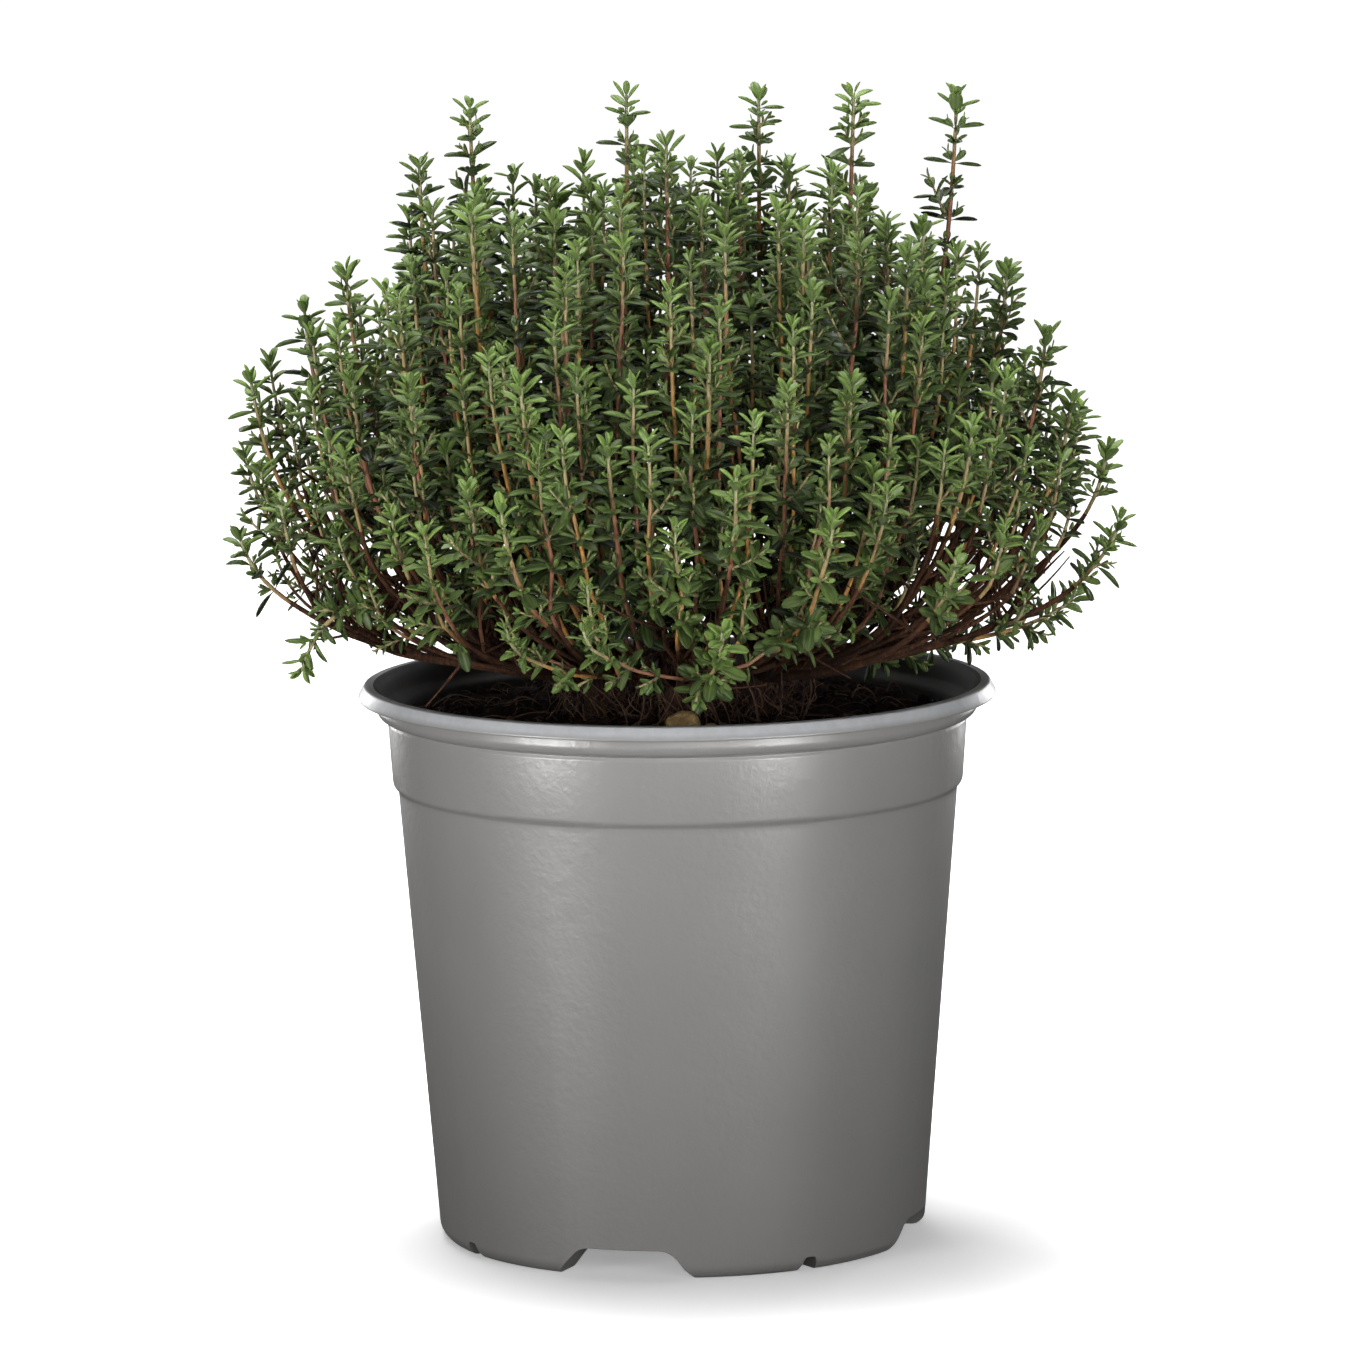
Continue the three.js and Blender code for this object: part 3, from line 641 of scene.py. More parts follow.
def leaf_material(look):
    """Thyme leaf: leathery and slightly waxy above, felted and pale below."""
    material, tree = new_material("leathery_thyme_leaf")
    trait = node(tree, TRAIT, attribute_name="trait")
    chance, youth, along = node(tree, SPLIT, {"Color": trait}).outputs
    cover = trait.outputs["Alpha"]
    where = node(tree, COORDS).outputs["Object"]
    # Grown leaves differ in depth of green; the youngest at the tips are a light yellow green.
    grown = node(tree, RAMP, {"Fac": chance},
                 [(0, look.leaf_dark), (1, look.leaf_grey), (0.72, look.leaf_green)])
    fresh = node(tree, MIX, {SHARE: youth, ONE: grown, OTHER: look.leaf_young}, data_type="RGBA")
    share = patches(tree, where, 1.4, 3.0, 0.35, 0.75, 0.4)
    mottled = node(tree, MIX, {SHARE: share, ONE: fresh, OTHER: look.leaf_dark}, data_type="RGBA")
    # The midrib and the leaf's foot are paler than the blade, and so is the felt below.
    rib = node(tree, MAP, {"Value": cover, "From Min": 0.5, "From Max": 0.62, "To Min": 0.5, "To Max": 0.0})
    foot = node(tree, MAP, {"Value": along, "From Min": 0.0, "From Max": 0.3, "To Min": 0.55, "To Max": 0.0})
    pale = node(tree, MATH, {0: rib, 1: foot}, operation="MAXIMUM")
    ribbed = node(tree, MIX, {SHARE: pale, ONE: mottled, OTHER: look.leaf_rib}, data_type="RGBA")
    below = node(tree, MAP, {"Value": cover, "From Min": 0.0, "From Max": 0.4, "To Min": 0.7, "To Max": 0.0})
    colour = node(tree, MIX, {SHARE: below, ONE: ribbed, OTHER: look.leaf_under}, data_type="RGBA")
    # Oil glands pit the blade about three to a millimetre.
    glands = node(tree, "ShaderNodeTexVoronoi", {"Vector": where, "Scale": 1 / (0.35 * MM)})
    pits = node(tree, MAP, {"Value": glands, "From Max": 0.35})
    normal = node(tree, BUMP, {"Height": pits, "Distance": 0.05 * MM, "Strength": 0.6})
    surface = node(tree, PRINCIPLED, {
        "Base Color": colour, "Roughness": 0.4, "IOR": 1.42, "Normal": normal,
        "Specular IOR Level": 0.36, "Sheen Weight": 0.06, "Sheen Roughness": 0.4,
    })
    node(tree, OUTPUT, {"Surface": surface})
    return material


def stem_material(look):
    """Thyme stem: a green felted tip that turns tan or red as its skin turns to bark."""
    material, tree = new_material("young_thyme_stem")
    trait = node(tree, TRAIT, attribute_name="trait")
    chance, age, _ = node(tree, SPLIT, {"Color": trait}).outputs
    tan, red = (
        node(tree, RAMP, {"Fac": age}, [(0, look.stem_tip), (1, look.bark_mid), *middle])
        for middle in (
            [(0.08, look.stem_green), (0.2, look.stem_tan), (0.55, look.stem_tan_old)],
            [(0.06, look.stem_green), (0.14, look.stem_red), (0.5, look.stem_red_old)],
        )
    )
    which = node(tree, RAMP, {"Fac": chance}, [(0.42, BLACK), (0.6, WHITE)])
    skin = node(tree, MIX, {SHARE: which, ONE: tan, OTHER: red}, data_type="RGBA")
    # Fine lengthwise grain, half a millimetre wide and several long.
    where = node(tree, DRAWN, {"Vector": node(tree, COORDS).outputs["Object"], "Scale": (1, 1, 0.2)})
    grain = node(tree, NOISE, {"Vector": where, "Scale": 1 / (0.5 * MM), "Detail": 3.0})
    share = node(tree, MAP, {"Value": grain, "From Min": 0.45, "From Max": 0.8, "To Max": 0.5})
    colour = node(tree, MIX, {SHARE: share, ONE: skin, OTHER: look.bark_dark}, data_type="RGBA")
    normal = node(tree, BUMP, {"Height": grain, "Distance": 0.08 * MM, "Strength": 0.6})
    surface = node(tree, PRINCIPLED, {
        "Base Color": colour, "Roughness": 0.6, "IOR": 1.45, "Normal": normal,
        "Sheen Weight": 0.1,
    })
    node(tree, OUTPUT, {"Surface": surface})
    return material


def bark_material(look):
    """Old thyme wood: grey-brown bark that splits into long shreds, dull."""
    material, tree = new_material("shredding_thyme_bark")
    where = node(tree, COORDS).outputs["Object"]
    drawn = node(tree, DRAWN, {"Vector": where, "Scale": (1, 1, 0.16)})
    shreds = node(tree, NOISE, {"Vector": drawn, "Scale": 1 / (0.55 * MM), "Detail": 5.0, "Roughness": 0.65})
    _, age, _ = node(tree, SPLIT, {"Color": node(tree, TRAIT, attribute_name="trait")}).outputs
    old = node(tree, RAMP, {"Fac": shreds},
               [(0.34, look.bark_dark), (0.78, look.bark_light), (0.56, look.bark_mid)])
    young = node(tree, RAMP, {"Fac": shreds}, [(0.3, look.bark_mid), (0.7, look.stem_red_old)])
    aged = node(tree, MIX, {SHARE: age, ONE: young, OTHER: old}, data_type="RGBA")
    share = patches(tree, where, 7, 2.0, 0.4, 0.7, 0.6)
    colour = node(tree, MIX, {SHARE: share, ONE: aged, OTHER: look.bark_dark}, data_type="RGBA")
    normal = node(tree, BUMP, {"Height": shreds, "Distance": 0.35 * MM, "Strength": 0.8})
    surface = node(tree, PRINCIPLED, {
        "Base Color": colour, "Roughness": 0.85, "IOR": 1.45, "Normal": normal,
        "Specular IOR Level": 0.25,
    })
    node(tree, OUTPUT, {"Surface": surface})
    return material


def peat_material(look):
    """Moist black peat: dark crumbs with brown fibre, dull."""
    material, tree = new_material("moist_black_peat")
    where = node(tree, COORDS).outputs["Object"]
    crumb = node(tree, NOISE, {"Vector": where, "Scale": 1 / (1.2 * MM), "Detail": 6.0, "Roughness": 0.7})
    brown = node(tree, RAMP, {"Fac": crumb},
                 [(0.36, look.peat_dark), (0.74, look.peat_fibre), (0.56, look.peat_mid)])
    share = patches(tree, where, 6, 2.0, 0.35, 0.65, 0.8)
    colour = node(tree, MIX, {SHARE: share, ONE: brown, OTHER: look.peat_dark}, data_type="RGBA")
    normal = node(tree, BUMP, {"Height": crumb, "Distance": 0.6 * MM, "Strength": 1.0})
    surface = node(tree, PRINCIPLED, {
        "Base Color": colour, "Roughness": 0.92, "IOR": 1.4, "Normal": normal,
        "Specular IOR Level": 0.2,
    })
    node(tree, OUTPUT, {"Surface": surface})
    return material


def rootlet_material(look):
    """Dry rootlets and peat fibre: matt, from red-brown to straw."""
    material, tree = new_material("dry_rootlets")
    chance = node(tree, SPLIT, {"Color": node(tree, TRAIT, attribute_name="trait")})
    stops = [(0, look.peat_mid), (1, look.rootlet_pale), (0.45, look.peat_fibre), (0.85, look.bark_light)]
    colour = node(tree, RAMP, {"Fac": chance}, stops)
    surface = node(tree, PRINCIPLED, {"Base Color": colour, "Roughness": 0.75, "IOR": 1.45})
    node(tree, OUTPUT, {"Surface": surface})
    return material


def stone_material(look):
    """Weathered limestone chip: ochre skin with pale grains and small pits."""
    material, tree = new_material("weathered_limestone")
    where = node(tree, COORDS).outputs["Object"]
    grains = node(tree, NOISE, {"Vector": where, "Scale": 1 / (0.9 * MM), "Detail": 6.0, "Roughness": 0.65})
    skin = node(tree, RAMP, {"Fac": grains},
                [(0.3, look.stone_dark), (0.75, look.stone_light), (0.55, look.stone_mid)])
    share = patches(tree, where, 3.2, 2.0, 0.4, 0.65, 0.7)
    colour = node(tree, MIX, {SHARE: share, ONE: skin, OTHER: look.stone_dark}, data_type="RGBA")
    normal = node(tree, BUMP, {"Height": grains, "Distance": 0.3 * MM, "Strength": 0.9})
    surface = node(tree, PRINCIPLED, {
        "Base Color": colour, "Roughness": 0.8, "IOR": 1.5, "Normal": normal,
    })
    node(tree, OUTPUT, {"Surface": surface})
    return material


def pot_material(look):
    """Injection-moulded polypropylene, satin: a soft sheen, orange peel, dust, and on the lip scuffs and a
    painted highlight.
    """
    material, tree = new_material("moulded_satin_polypropylene")
    where = node(tree, COORDS).outputs["Object"]
    height = node(tree, "ShaderNodeSeparateXYZ", {"Vector": where}).outputs[2]
    cloud = node(tree, NOISE, {"Vector": where, "Scale": 1 / (24 * MM), "Detail": 3.0})
    plastic = node(tree, MIX, {SHARE: cloud, ONE: look.pot_low, OTHER: look.pot_high}, data_type="RGBA")
    # Specks of dust under a millimetre wide all over.
    specks = patches(tree, where, 0.8, 2.0, 0.72, 0.78, 0.14)
    # The lip's top is paled in patches towards the dust colour: partly scuffs, partly a painted highlight.
    lip_noise = node(tree, NOISE, {"Vector": where, "Scale": 1 / (2.6 * MM), "Detail": 6.0, "Roughness": 0.75})
    lip_scuffs_and_highlight = node(tree, MAP, {"Value": lip_noise, "From Min": 0.3, "From Max": 0.68, "To Min": 0.5, "To Max": 0.8})
    lip = node(tree, MAP, {"Value": height, "From Min": 111.3 * MM, "From Max": 112.6 * MM})
    lip_wear_and_highlight = node(tree, MATH, {0: lip_scuffs_and_highlight, 1: lip}, operation="MULTIPLY")
    pale = node(tree, MATH, {0: lip_wear_and_highlight, 1: specks}, operation="MAXIMUM")
    skin_dust_and_highlight = node(tree, MIX, {SHARE: pale, ONE: plastic, OTHER: look.pot_dust_and_highlight}, data_type="RGBA")
    # Painted shade: the wall inside is mixed towards dark peat where its faces carry a share of it.
    inside_shade = node(tree, TRAIT, attribute_name="inside_shade").outputs["Fac"]
    colour = node(tree, MIX, {SHARE: inside_shade, ONE: skin_dust_and_highlight, OTHER: look.peat_dark}, data_type="RGBA")
    # Flow of the melt leaves faint upright streaks in the gloss.
    drawn = node(tree, DRAWN, {"Vector": where, "Scale": (1, 1, 0.06)})
    streaks = node(tree, NOISE, {"Vector": drawn, "Scale": 1 / (2 * MM), "Detail": 4.0})
    rough = node(tree, MAP, {
        "Value": streaks, "From Min": 0.3, "From Max": 0.7, "To Min": 0.33, "To Max": 0.39,
    })
    dull = node(tree, MATH, {0: inside_shade, 1: 0.9}, operation="MULTIPLY")
    rough = node(tree, MATH, {0: rough, 1: dull}, operation="MAXIMUM")
    # Orange peel about a millimetre wide, dents of a few millimetres and a wide waviness.
    peel = node(tree, NOISE, {"Vector": where, "Scale": 1 / (1.5 * MM), "Detail": 3.0})
    dents = node(tree, NOISE, {"Vector": where, "Scale": 1 / (4.5 * MM), "Detail": 4.0, "Roughness": 0.65})
    waves = node(tree, NOISE, {"Vector": where, "Scale": 1 / (18 * MM), "Detail": 1.0})
    wavy = node(tree, BUMP, {"Height": waves, "Distance": 0.25 * MM, "Strength": 0.5})
    dented = node(tree, BUMP, {"Height": dents, "Distance": 0.22 * MM, "Strength": 0.6, "Normal": wavy})
    normal = node(tree, BUMP, {"Height": peel, "Distance": 0.07 * MM, "Strength": 0.8, "Normal": dented})
    surface = node(tree, PRINCIPLED, {
        "Base Color": colour, "Roughness": rough, "IOR": 1.49, "Normal": normal,
        "Specular IOR Level": 1.0,
    })
    node(tree, OUTPUT, {"Surface": surface})
    return material


def floor_material(look):
    """Matt white table with a painted glow, weakest near the pot, so that shadows on it stay pale."""
    material, tree = new_material("white_table_painted_glow")
    where = node(tree, COORDS).outputs["Object"]
    grain = node(tree, NOISE, {"Vector": where, "Scale": 1 / (40 * MM)})
    colour = node(tree, MIX, {SHARE: grain, ONE: look.floor, OTHER: WHITE}, data_type="RGBA")
    # Painted light: within 50 mm of the pot's axis the table glows at 0.31, lightening the shade under the
    # pot, and it rises to full white 135 mm out.
    away = node(tree, "ShaderNodeVectorMath", {0: where}, operation="LENGTH")
    painted_glow = node(tree, MAP, {
        "Value": away, "From Min": 0.05, "From Max": 0.135, "To Min": 0.31, "To Max": 1.0,
    })
    surface = node(tree, PRINCIPLED, {
        "Base Color": colour, "Roughness": 0.9, "IOR": 1.49, "Specular IOR Level": 0.1,
        "Emission Color": WHITE, "Emission Strength": painted_glow,
    })
    node(tree, OUTPUT, {"Surface": surface})
    return material


# ---------------------------------------------------------------- pot
def rounded(corners, steps=5):
    """An outline through (radius, height, rounding) corners, with each corner rounded."""
    outline = []
    for index, (x, y, radius) in enumerate(corners):
        here = np.array((x, y))
        if radius == 0 or index in (0, len(corners) - 1):
            outline.append(here)
            continue
        before = np.array(corners[index - 1][:2]) - here
        after = np.array(corners[index + 1][:2]) - here
        reach = min(radius, np.linalg.norm(before) * 0.48, np.linalg.norm(after) * 0.48)
        start, end = here + unit(before) * reach, here + unit(after) * reach
        for t in np.linspace(0, 1, steps):
            outline.append(start * (1 - t) ** 2 + 2 * here * t * (1 - t) + end * t**2)
    return np.array(outline)


def pot_outside():
    """Section of the pot without its hollow: under the base, up the outside, over the lip."""
    ring = FOOT_RADIUS - FOOT_RING_WIDTH
    return rounded([
        (0, BASE_RAISE, 0), (ring - 1.2, BASE_RAISE, 0.4), (ring, 0, 0.6), (48.1, 0, 0.9), (49.7, 1.8, 1.4),
        (56.95, 91.8, 0.7), (57.1, 92.7, 0.5), (58.1, 93.6, 0.7), (59.0, 106.4, 0.2), (58.7, 107.1, 0.12),
        (60.6, 107.7, 0.5), (61.4, 109.0, 0.9), (61.0, 111.4, 0.4), (61.0, 112.6, 0.4), (64.2, 112.6, 0.4),
        (64.4, 111.5, 0.2), (64.8, 111.2, 0.2), (LIP_RADIUS, 111.6, 0.3), (63.7, 113.9, 0.4),
        (63.0, POT_HEIGHT, 0.5), (61.3, POT_HEIGHT, 0.8), (LIP_MOUTH, 113.2, 0), (0, 113.2, 0),
    ])


def pot_hollow():
    """Section of the hollow that the pot's one-millimetre walls leave, open above the lip."""
    ring = FOOT_RADIUS - FOOT_RING_WIDTH
    return rounded([
        (0, BASE_RAISE + WALL, 0), (ring - 0.2, BASE_RAISE + WALL, 0.4), (ring + 1, WALL, 0.4),
        (47.7, WALL, 0.6), (48.7, 2.4, 0.8), (56.0, 92.4, 0.5), (57.1, 93.7, 0.5), (58.0, 106.5, 0.4),
        (58.2, 108.0, 0.8), (60.2, 109.8, 0.5), (LIP_MOUTH, 112.8, 0.8), (61.3, POT_HEIGHT, 0.4),
        (61.6, POT_HEIGHT + 1, 0), (0, POT_HEIGHT + 1, 0),
    ])


def turned(name, outline, steps):
    """A closed piece: an outline that starts and ends on the axis, turned round it."""
    inner = outline[1:-1]
    angles = np.arange(steps) * 2 * math.pi / steps
    x = inner[None, :, 0] * np.cos(angles)[:, None]
    y = inner[None, :, 0] * np.sin(angles)[:, None]
    z = np.broadcast_to(inner[None, :, 1], x.shape)
    points = np.stack([x, y, z], -1).reshape(-1, 3)
    count = len(inner)
    i, j = np.meshgrid(np.arange(steps), np.arange(count - 1), indexing="ij")
    low, nxt = i * count + j, (i + 1) % steps * count + j
    quads = np.stack([low, nxt, nxt + 1, low + 1], -1).reshape(-1, 4)
    first, last = len(points), len(points) + 1
    points = np.concatenate([points, [(0, 0, outline[0][1]), (0, 0, outline[-1][1])]])
    ring = np.arange(steps) * count
    after = np.roll(ring, -1)
    caps = np.concatenate([
        np.stack([np.full(steps, first), after, ring], -1),
        np.stack([np.full(steps, last), ring + count - 1, after + count - 1], -1),
    ])
    return mesh_object(name, points, quads, triangles=caps)


def channel_cutter(section, angle, grown=0.0):
    """A bar that runs out through the foot ring, with the channel's rounded section."""
    foot, roof, height = (size + grown for size in section)
    bend = min(2.2, height * 0.45)
    half = rounded([(0, -3, 0), (foot + 0.3, -3, 0), (foot, 0, 0), (roof, height, bend), (0, height, 0)], 6)
    outline = np.concatenate([half, half[-2:0:-1] * (-1, 1)])
    direction, sideways = (math.cos(angle), math.sin(angle)), (-math.sin(angle), math.cos(angle))
    made = bmesh.new()
    rings = []
    # The channel is narrower at its inner end, and wider where it leaves the foot.
    for depth, spread in ((36.0, 0.84), (62.0, 1.14)):
        rings.append([
            made.verts.new((
                (direction[0] * depth + sideways[0] * x * spread) * MM,
                (direction[1] * depth + sideways[1] * x * spread) * MM,
                z * MM,
            ))
            for x, z in outline
        ])
    inner, outer = rings
    for i in range(len(outline)):
        after = (i + 1) % len(outline)
        made.faces.new((inner[i], inner[after], outer[after], outer[i]))
    made.faces.new(inner[::-1])
    made.faces.new(outer)
    bmesh.ops.recalc_face_normals(made, faces=made.faces)
    return settled(made, bpy.data.meshes.new("cutter"))


def drain_cutter(angle):
    """A round bar through the base, for one drain hole."""
    made = bmesh.new()
    at = (math.cos(angle) * DRAIN_CIRCLE * MM, math.sin(angle) * DRAIN_CIRCLE * MM, BASE_RAISE * MM)
    bmesh.ops.create_cone(made, cap_ends=True, segments=40, radius1=DRAIN_RADIUS * MM,
                          radius2=DRAIN_RADIUS * MM, depth=6 * MM, matrix=Matrix.Translation(at))
    return settled(made, bpy.data.meshes.new("cutter"))


def cut(piece, cutters):
    """Cuts meshes out of a piece, and leaves only the piece's own result."""
    helpers = bpy.data.collections.new("cutters")
    bpy.context.scene.collection.children.link(helpers)
    for mesh in cutters:
        helpers.objects.link(bpy.data.objects.new("cutter", mesh))
    modifier = piece.modifiers.new("cut", "BOOLEAN")
    modifier.operand_type = "COLLECTION"
    modifier.collection = helpers
    modifier.solver = "EXACT"
    bpy.context.view_layer.update()
    result = bpy.data.meshes.new_from_object(piece.evaluated_get(bpy.context.evaluated_depsgraph_get()))
    piece.modifiers.clear()
    piece.data = result
    for helper in list(helpers.objects):
        bpy.data.objects.remove(helper)
    bpy.data.collections.remove(helpers)


def sharpen(mesh, degrees):
    """Smooth faces with sharp edges where they turn more than an angle."""
    made = bmesh.new()
    made.from_mesh(mesh)
    for face in made.faces:
        face.smooth = True
    for edge in made.edges:
        if len(edge.link_faces) == 2:
            edge.smooth = edge.calc_face_angle(0.0) < math.radians(degrees)
    settled(made, mesh)


# ---------------------------------------------------------------- user settings
def colour_property(name, code, description):
    """A colour that a user may change, given as sRGB hex."""
    return FloatVectorProperty(name=name, description=description, subtype="COLOR", size=4,
                               min=0.0, max=1.0, default=linear(code))


class ThymeColours(PropertyGroup):
    leaf_dark: colour_property("Old leaf", "#0b1308", "Darkest grown leaves")
    leaf_green: colour_property("Grown leaf", "#16270d", "Most grown leaves")
    leaf_grey: colour_property("Greyish leaf", "#325022", "Grown leaves with a grey bloom")
    leaf_young: colour_property("Young leaf", "#8ba955", "Leaves at the tips")
    leaf_rib: colour_property("Midrib", "#78885a", "Groove of the midrib")
    leaf_under: colour_property("Underside", "#4e5e45", "Felted underside of a leaf")
    stem_tip: colour_property("Stem tip", "#a5aa80", "Felted stem at the tip")
    stem_green: colour_property("Green stem", "#a8976a", "Young stem")
    stem_tan: colour_property("Tan stem", "#be8a48", "Stem in the middle, tan plants")
    stem_tan_old: colour_property("Old tan stem", "#a06c36", "Lower stem, tan plants")
    stem_red: colour_property("Red stem", "#96634a", "Stem in the middle, red plants")
    stem_red_old: colour_property("Old red stem", "#744a33", "Lower stem, red plants")
    bark_dark: colour_property("Dark bark", "#1d130e", "Cracks of the bark")
    bark_mid: colour_property("Bark", "#3a281b", "Bark")
    bark_light: colour_property("Light bark", "#624935", "Fibres of the bark")
    peat_dark: colour_property("Dark peat", "#120c09", "Wet crumbs")
    peat_mid: colour_property("Peat", "#2a1c15", "Peat")
    peat_fibre: colour_property("Peat fibre", "#2e1c14", "Fibre in the peat")
    rootlet_pale: colour_property("Pale rootlet", "#594231", "Driest rootlets")
    stone_dark: colour_property("Stone stain", "#6d5a38", "Stained stone")
    stone_mid: colour_property("Stone", "#a88a58", "Stone")
    stone_light: colour_property("Stone grain", "#d6be90", "Pale grains")
    pot_low: colour_property("Pot, darker", "#898886", "Darker clouds of the plastic")
    pot_high: colour_property("Pot, lighter", "#93918f", "Lighter clouds of the plastic")
    # Dust on the plastic, and the colour of the painted highlight on the lip.
    pot_dust_and_highlight: colour_property("Dust", "#c6c9ce", "Dust and scuffs on the plastic")
    floor: colour_property("Floor", "#f8f8f8", "Table")


class ThymeSizes(PropertyGroup):
    fullness: FloatProperty(
        name="Fullness", description="Sprigs between the leading ones", default=1.0, min=0.2, max=1.5)
    vigour: FloatProperty(
        name="Leaf size", description="Size of the leaves against the real one",
        default=1.0, min=0.7, max=1.3)
    stem_sway: FloatProperty(
        name="Stem sway", description="How far stems stray from a plain arc, in millimetres",
        default=0.7, min=0.0, max=2.0)
    pot_steps: IntProperty(name="Pot steps", description="Faces round the pot", default=160, min=32, max=360)
    rootlets: IntProperty(
        name="Rootlets", description="Loose fibres on the peat", default=260, min=0, max=800)
    seed: IntProperty(name="Seed", description="Seed of every random draw", default=7, min=0, max=9999)


def power_property(name, watts, description):
    """The power of a light that a user may change."""
    return FloatProperty(name=name, description=f"Power of {description}, in watts",
                         default=watts, min=0.0, unit="POWER")


class StudioSettings(PropertyGroup):
    distance: FloatProperty(
        name="Camera distance", description="Level distance from the pot's axis", default=1.75, unit="LENGTH")
    elevation: FloatProperty(
        name="Camera elevation", description="Angle above the point looked at",
        default=math.radians(8.4), subtype="ANGLE")
    aim: FloatProperty(
        name="Aim height", description="Height of the point looked at", default=0.113, unit="LENGTH")
    lens: FloatProperty(
        name="Lens", description="Focal length on a 36 mm sensor, in millimetres",
        default=228.8, unit="CAMERA")
    key: power_property("Front softbox", 0.65, "the light near the camera")
    left: power_property("Left softbox", 0.25, "the low light on the left")
    right: power_property("Right softbox", 0.19, "the low light on the right")
    back: power_property("Back softbox", 2.6, "the light behind")
    top: power_property("Top softbox", 14.0, "the light overhead")
    rim: power_property("Edge lights", 0.12, "each low light behind")
    fill: FloatProperty(
        name="Surroundings", description="Brightness of the white surroundings", default=0.04, min=0.0)


# ---------------------------------------------------------------- operators
class THYME_OT_pot(Operator):
    """Nursery pot with its rolled lip, upper band and notched foot"""

    bl_idname = "thyme.pot"
    bl_label = "Pot"

    def execute(self, context):
        scene = context.scene
        steps = scene.thyme_sizes.pot_steps
        pot = turned("nursery_pot", pot_outside(), steps)
        hollow = turned("hollow", pot_hollow(), steps)
        quarter = math.pi / 2
        channels, kept, drains = [], [], []
        for index in range(4):
            wide = FIRST_CHANNEL + index * quarter
            for section, angle in ((WIDE_CHANNEL, wide), (NARROW_CHANNEL, wide + quarter / 2)):
                channels.append(channel_cutter(section, angle))
                kept.append(channel_cutter(section, angle, WALL))
            drains.append(drain_cutter(wide))
        # The hollow keeps clear of the channels, so that a wall of plastic stays over them.
        cut(hollow, kept)
        cut(pot, [hollow.data.copy(), *channels, *drains])
        bpy.data.objects.remove(hollow)
        pot.data.materials.clear()
        pot.data.materials.append(pot_material(scene.thyme_colours))
        sharpen(pot.data, SHARP_TURN)
        self.inside_shade(pot.data)
        ride_for(pot, "pot_plastic", "pot")
        return {"FINISHED"}

    def inside_shade(self, mesh):
        """Marks the faces of the mouth that look inwards with a share of painted shade."""
        shaded_faces = []
        for face in mesh.polygons:
            inwards = face.normal.x * face.center.x + face.normal.y * face.center.y < 0
            shaded_faces.append(INSIDE_SHADE_SHARE if inwards and face.center.z > INSIDE_SHADE_FROM * MM else 0.0)
        mesh.attributes.new("inside_shade", "FLOAT", "FACE").data.foreach_set("value", shaded_faces)


class THYME_OT_soil(Operator):
    """Heap of moist peat with its crumbs and rootlets"""

    bl_idname = "thyme.soil"
    bl_label = "Peat"

    def execute(self, context):
        scene = context.scene
        look, sizes = scene.thyme_colours, scene.thyme_sizes
        rng = np.random.default_rng(sizes.seed + 100)
        heap = Heap()
        radii = np.concatenate([[0.4], np.linspace(2, PEAT_RADIUS, 62)])
        steps = 220
        angles = np.arange(steps) * 2 * math.pi / steps
        x, y = np.outer(radii, np.cos(angles)), np.outer(radii, np.sin(angles))
        z = soil_height(x, y)
        flat = np.stack([x, y, z], -1).reshape(-1, 3)
        lumps = (soft_noise(flat, 4.2) - 0.5) * 2.2 + (soft_noise(flat + 31, 1.5) - 0.5) * 1.3
        lumps *= np.clip((PEAT_RADIUS - np.hypot(flat[:, 0], flat[:, 1])) / 3, 0.25, 1)
        flat[:, 2] += lumps - 0.3
        lower = np.stack([
            np.stack([np.cos(angles) * r, np.sin(angles) * r, np.full(steps, h)], -1) for r, h in PEAT_SIDE
        ]).reshape(-1, 3)
        points = np.concatenate([flat, lower])
        heap.add(points, tube_faces(len(radii) + len(PEAT_SIDE), steps), (0, 0, 0, 0), 0)
        self.add_crumbs(heap, rng)
        self.add_rootlets(heap, rng, sizes.rootlets)
        soil = heap.piece("moist_peat_heap", [peat_material(look), rootlet_material(look)])
        ride_for(soil, "peat", "soil")
        return {"FINISHED"}

    def add_crumbs(self, heap, rng):
        """Crumbs of peat that lie loose on the heap."""
        for _ in range(CRUMBS):
            x, y, away = scattered(rng, 55.5)
            size = rng.uniform(0.5, 1.5)
            centre = np.array((x, y, soil_height(x, y) + size * 0.1))
            turns = np.linspace(-1, 1, 5)
            path = centre + np.outer(turns * size, unit(rng.normal(size=3)))
            girth = size * np.sqrt(1.05 - turns**2) * rng.uniform(0.6, 1)
            heap.add(*tube(path, girth, 6, 0.35, away), (0, 0, 0, 0), 0)

    def add_rootlets(self, heap, rng, count):
        """Loose fibres that wander over the peat in low arches."""
        for _ in range(count):
            x, y, _ = scattered(rng, 54)
            length = rng.uniform(4, 16)
            heading = rng.uniform(0, 2 * math.pi) + np.cumsum(rng.normal(0, 0.35, 9))
            path = np.zeros((9, 3))
            path[:, 0] = x + np.cumsum(np.cos(heading)) * length / 9
            path[:, 1] = y + np.cumsum(np.sin(heading)) * length / 9
            if np.hypot(path[:, 0], path[:, 1]).max() >= 56:
                continue
            arch = np.sin(np.linspace(0, math.pi, 9)) * rng.uniform(0.2, 2.6)
            path[:, 2] = soil_height(path[:, 0], path[:, 1]) + arch + rng.uniform(-0.2, 0.3)
            girth = np.linspace(1, 0.5, 9) * rng.uniform(0.1, 0.24)
            heap.add(*tube(path, girth, 5), (rng.random(), 0, 0, 0), 1)


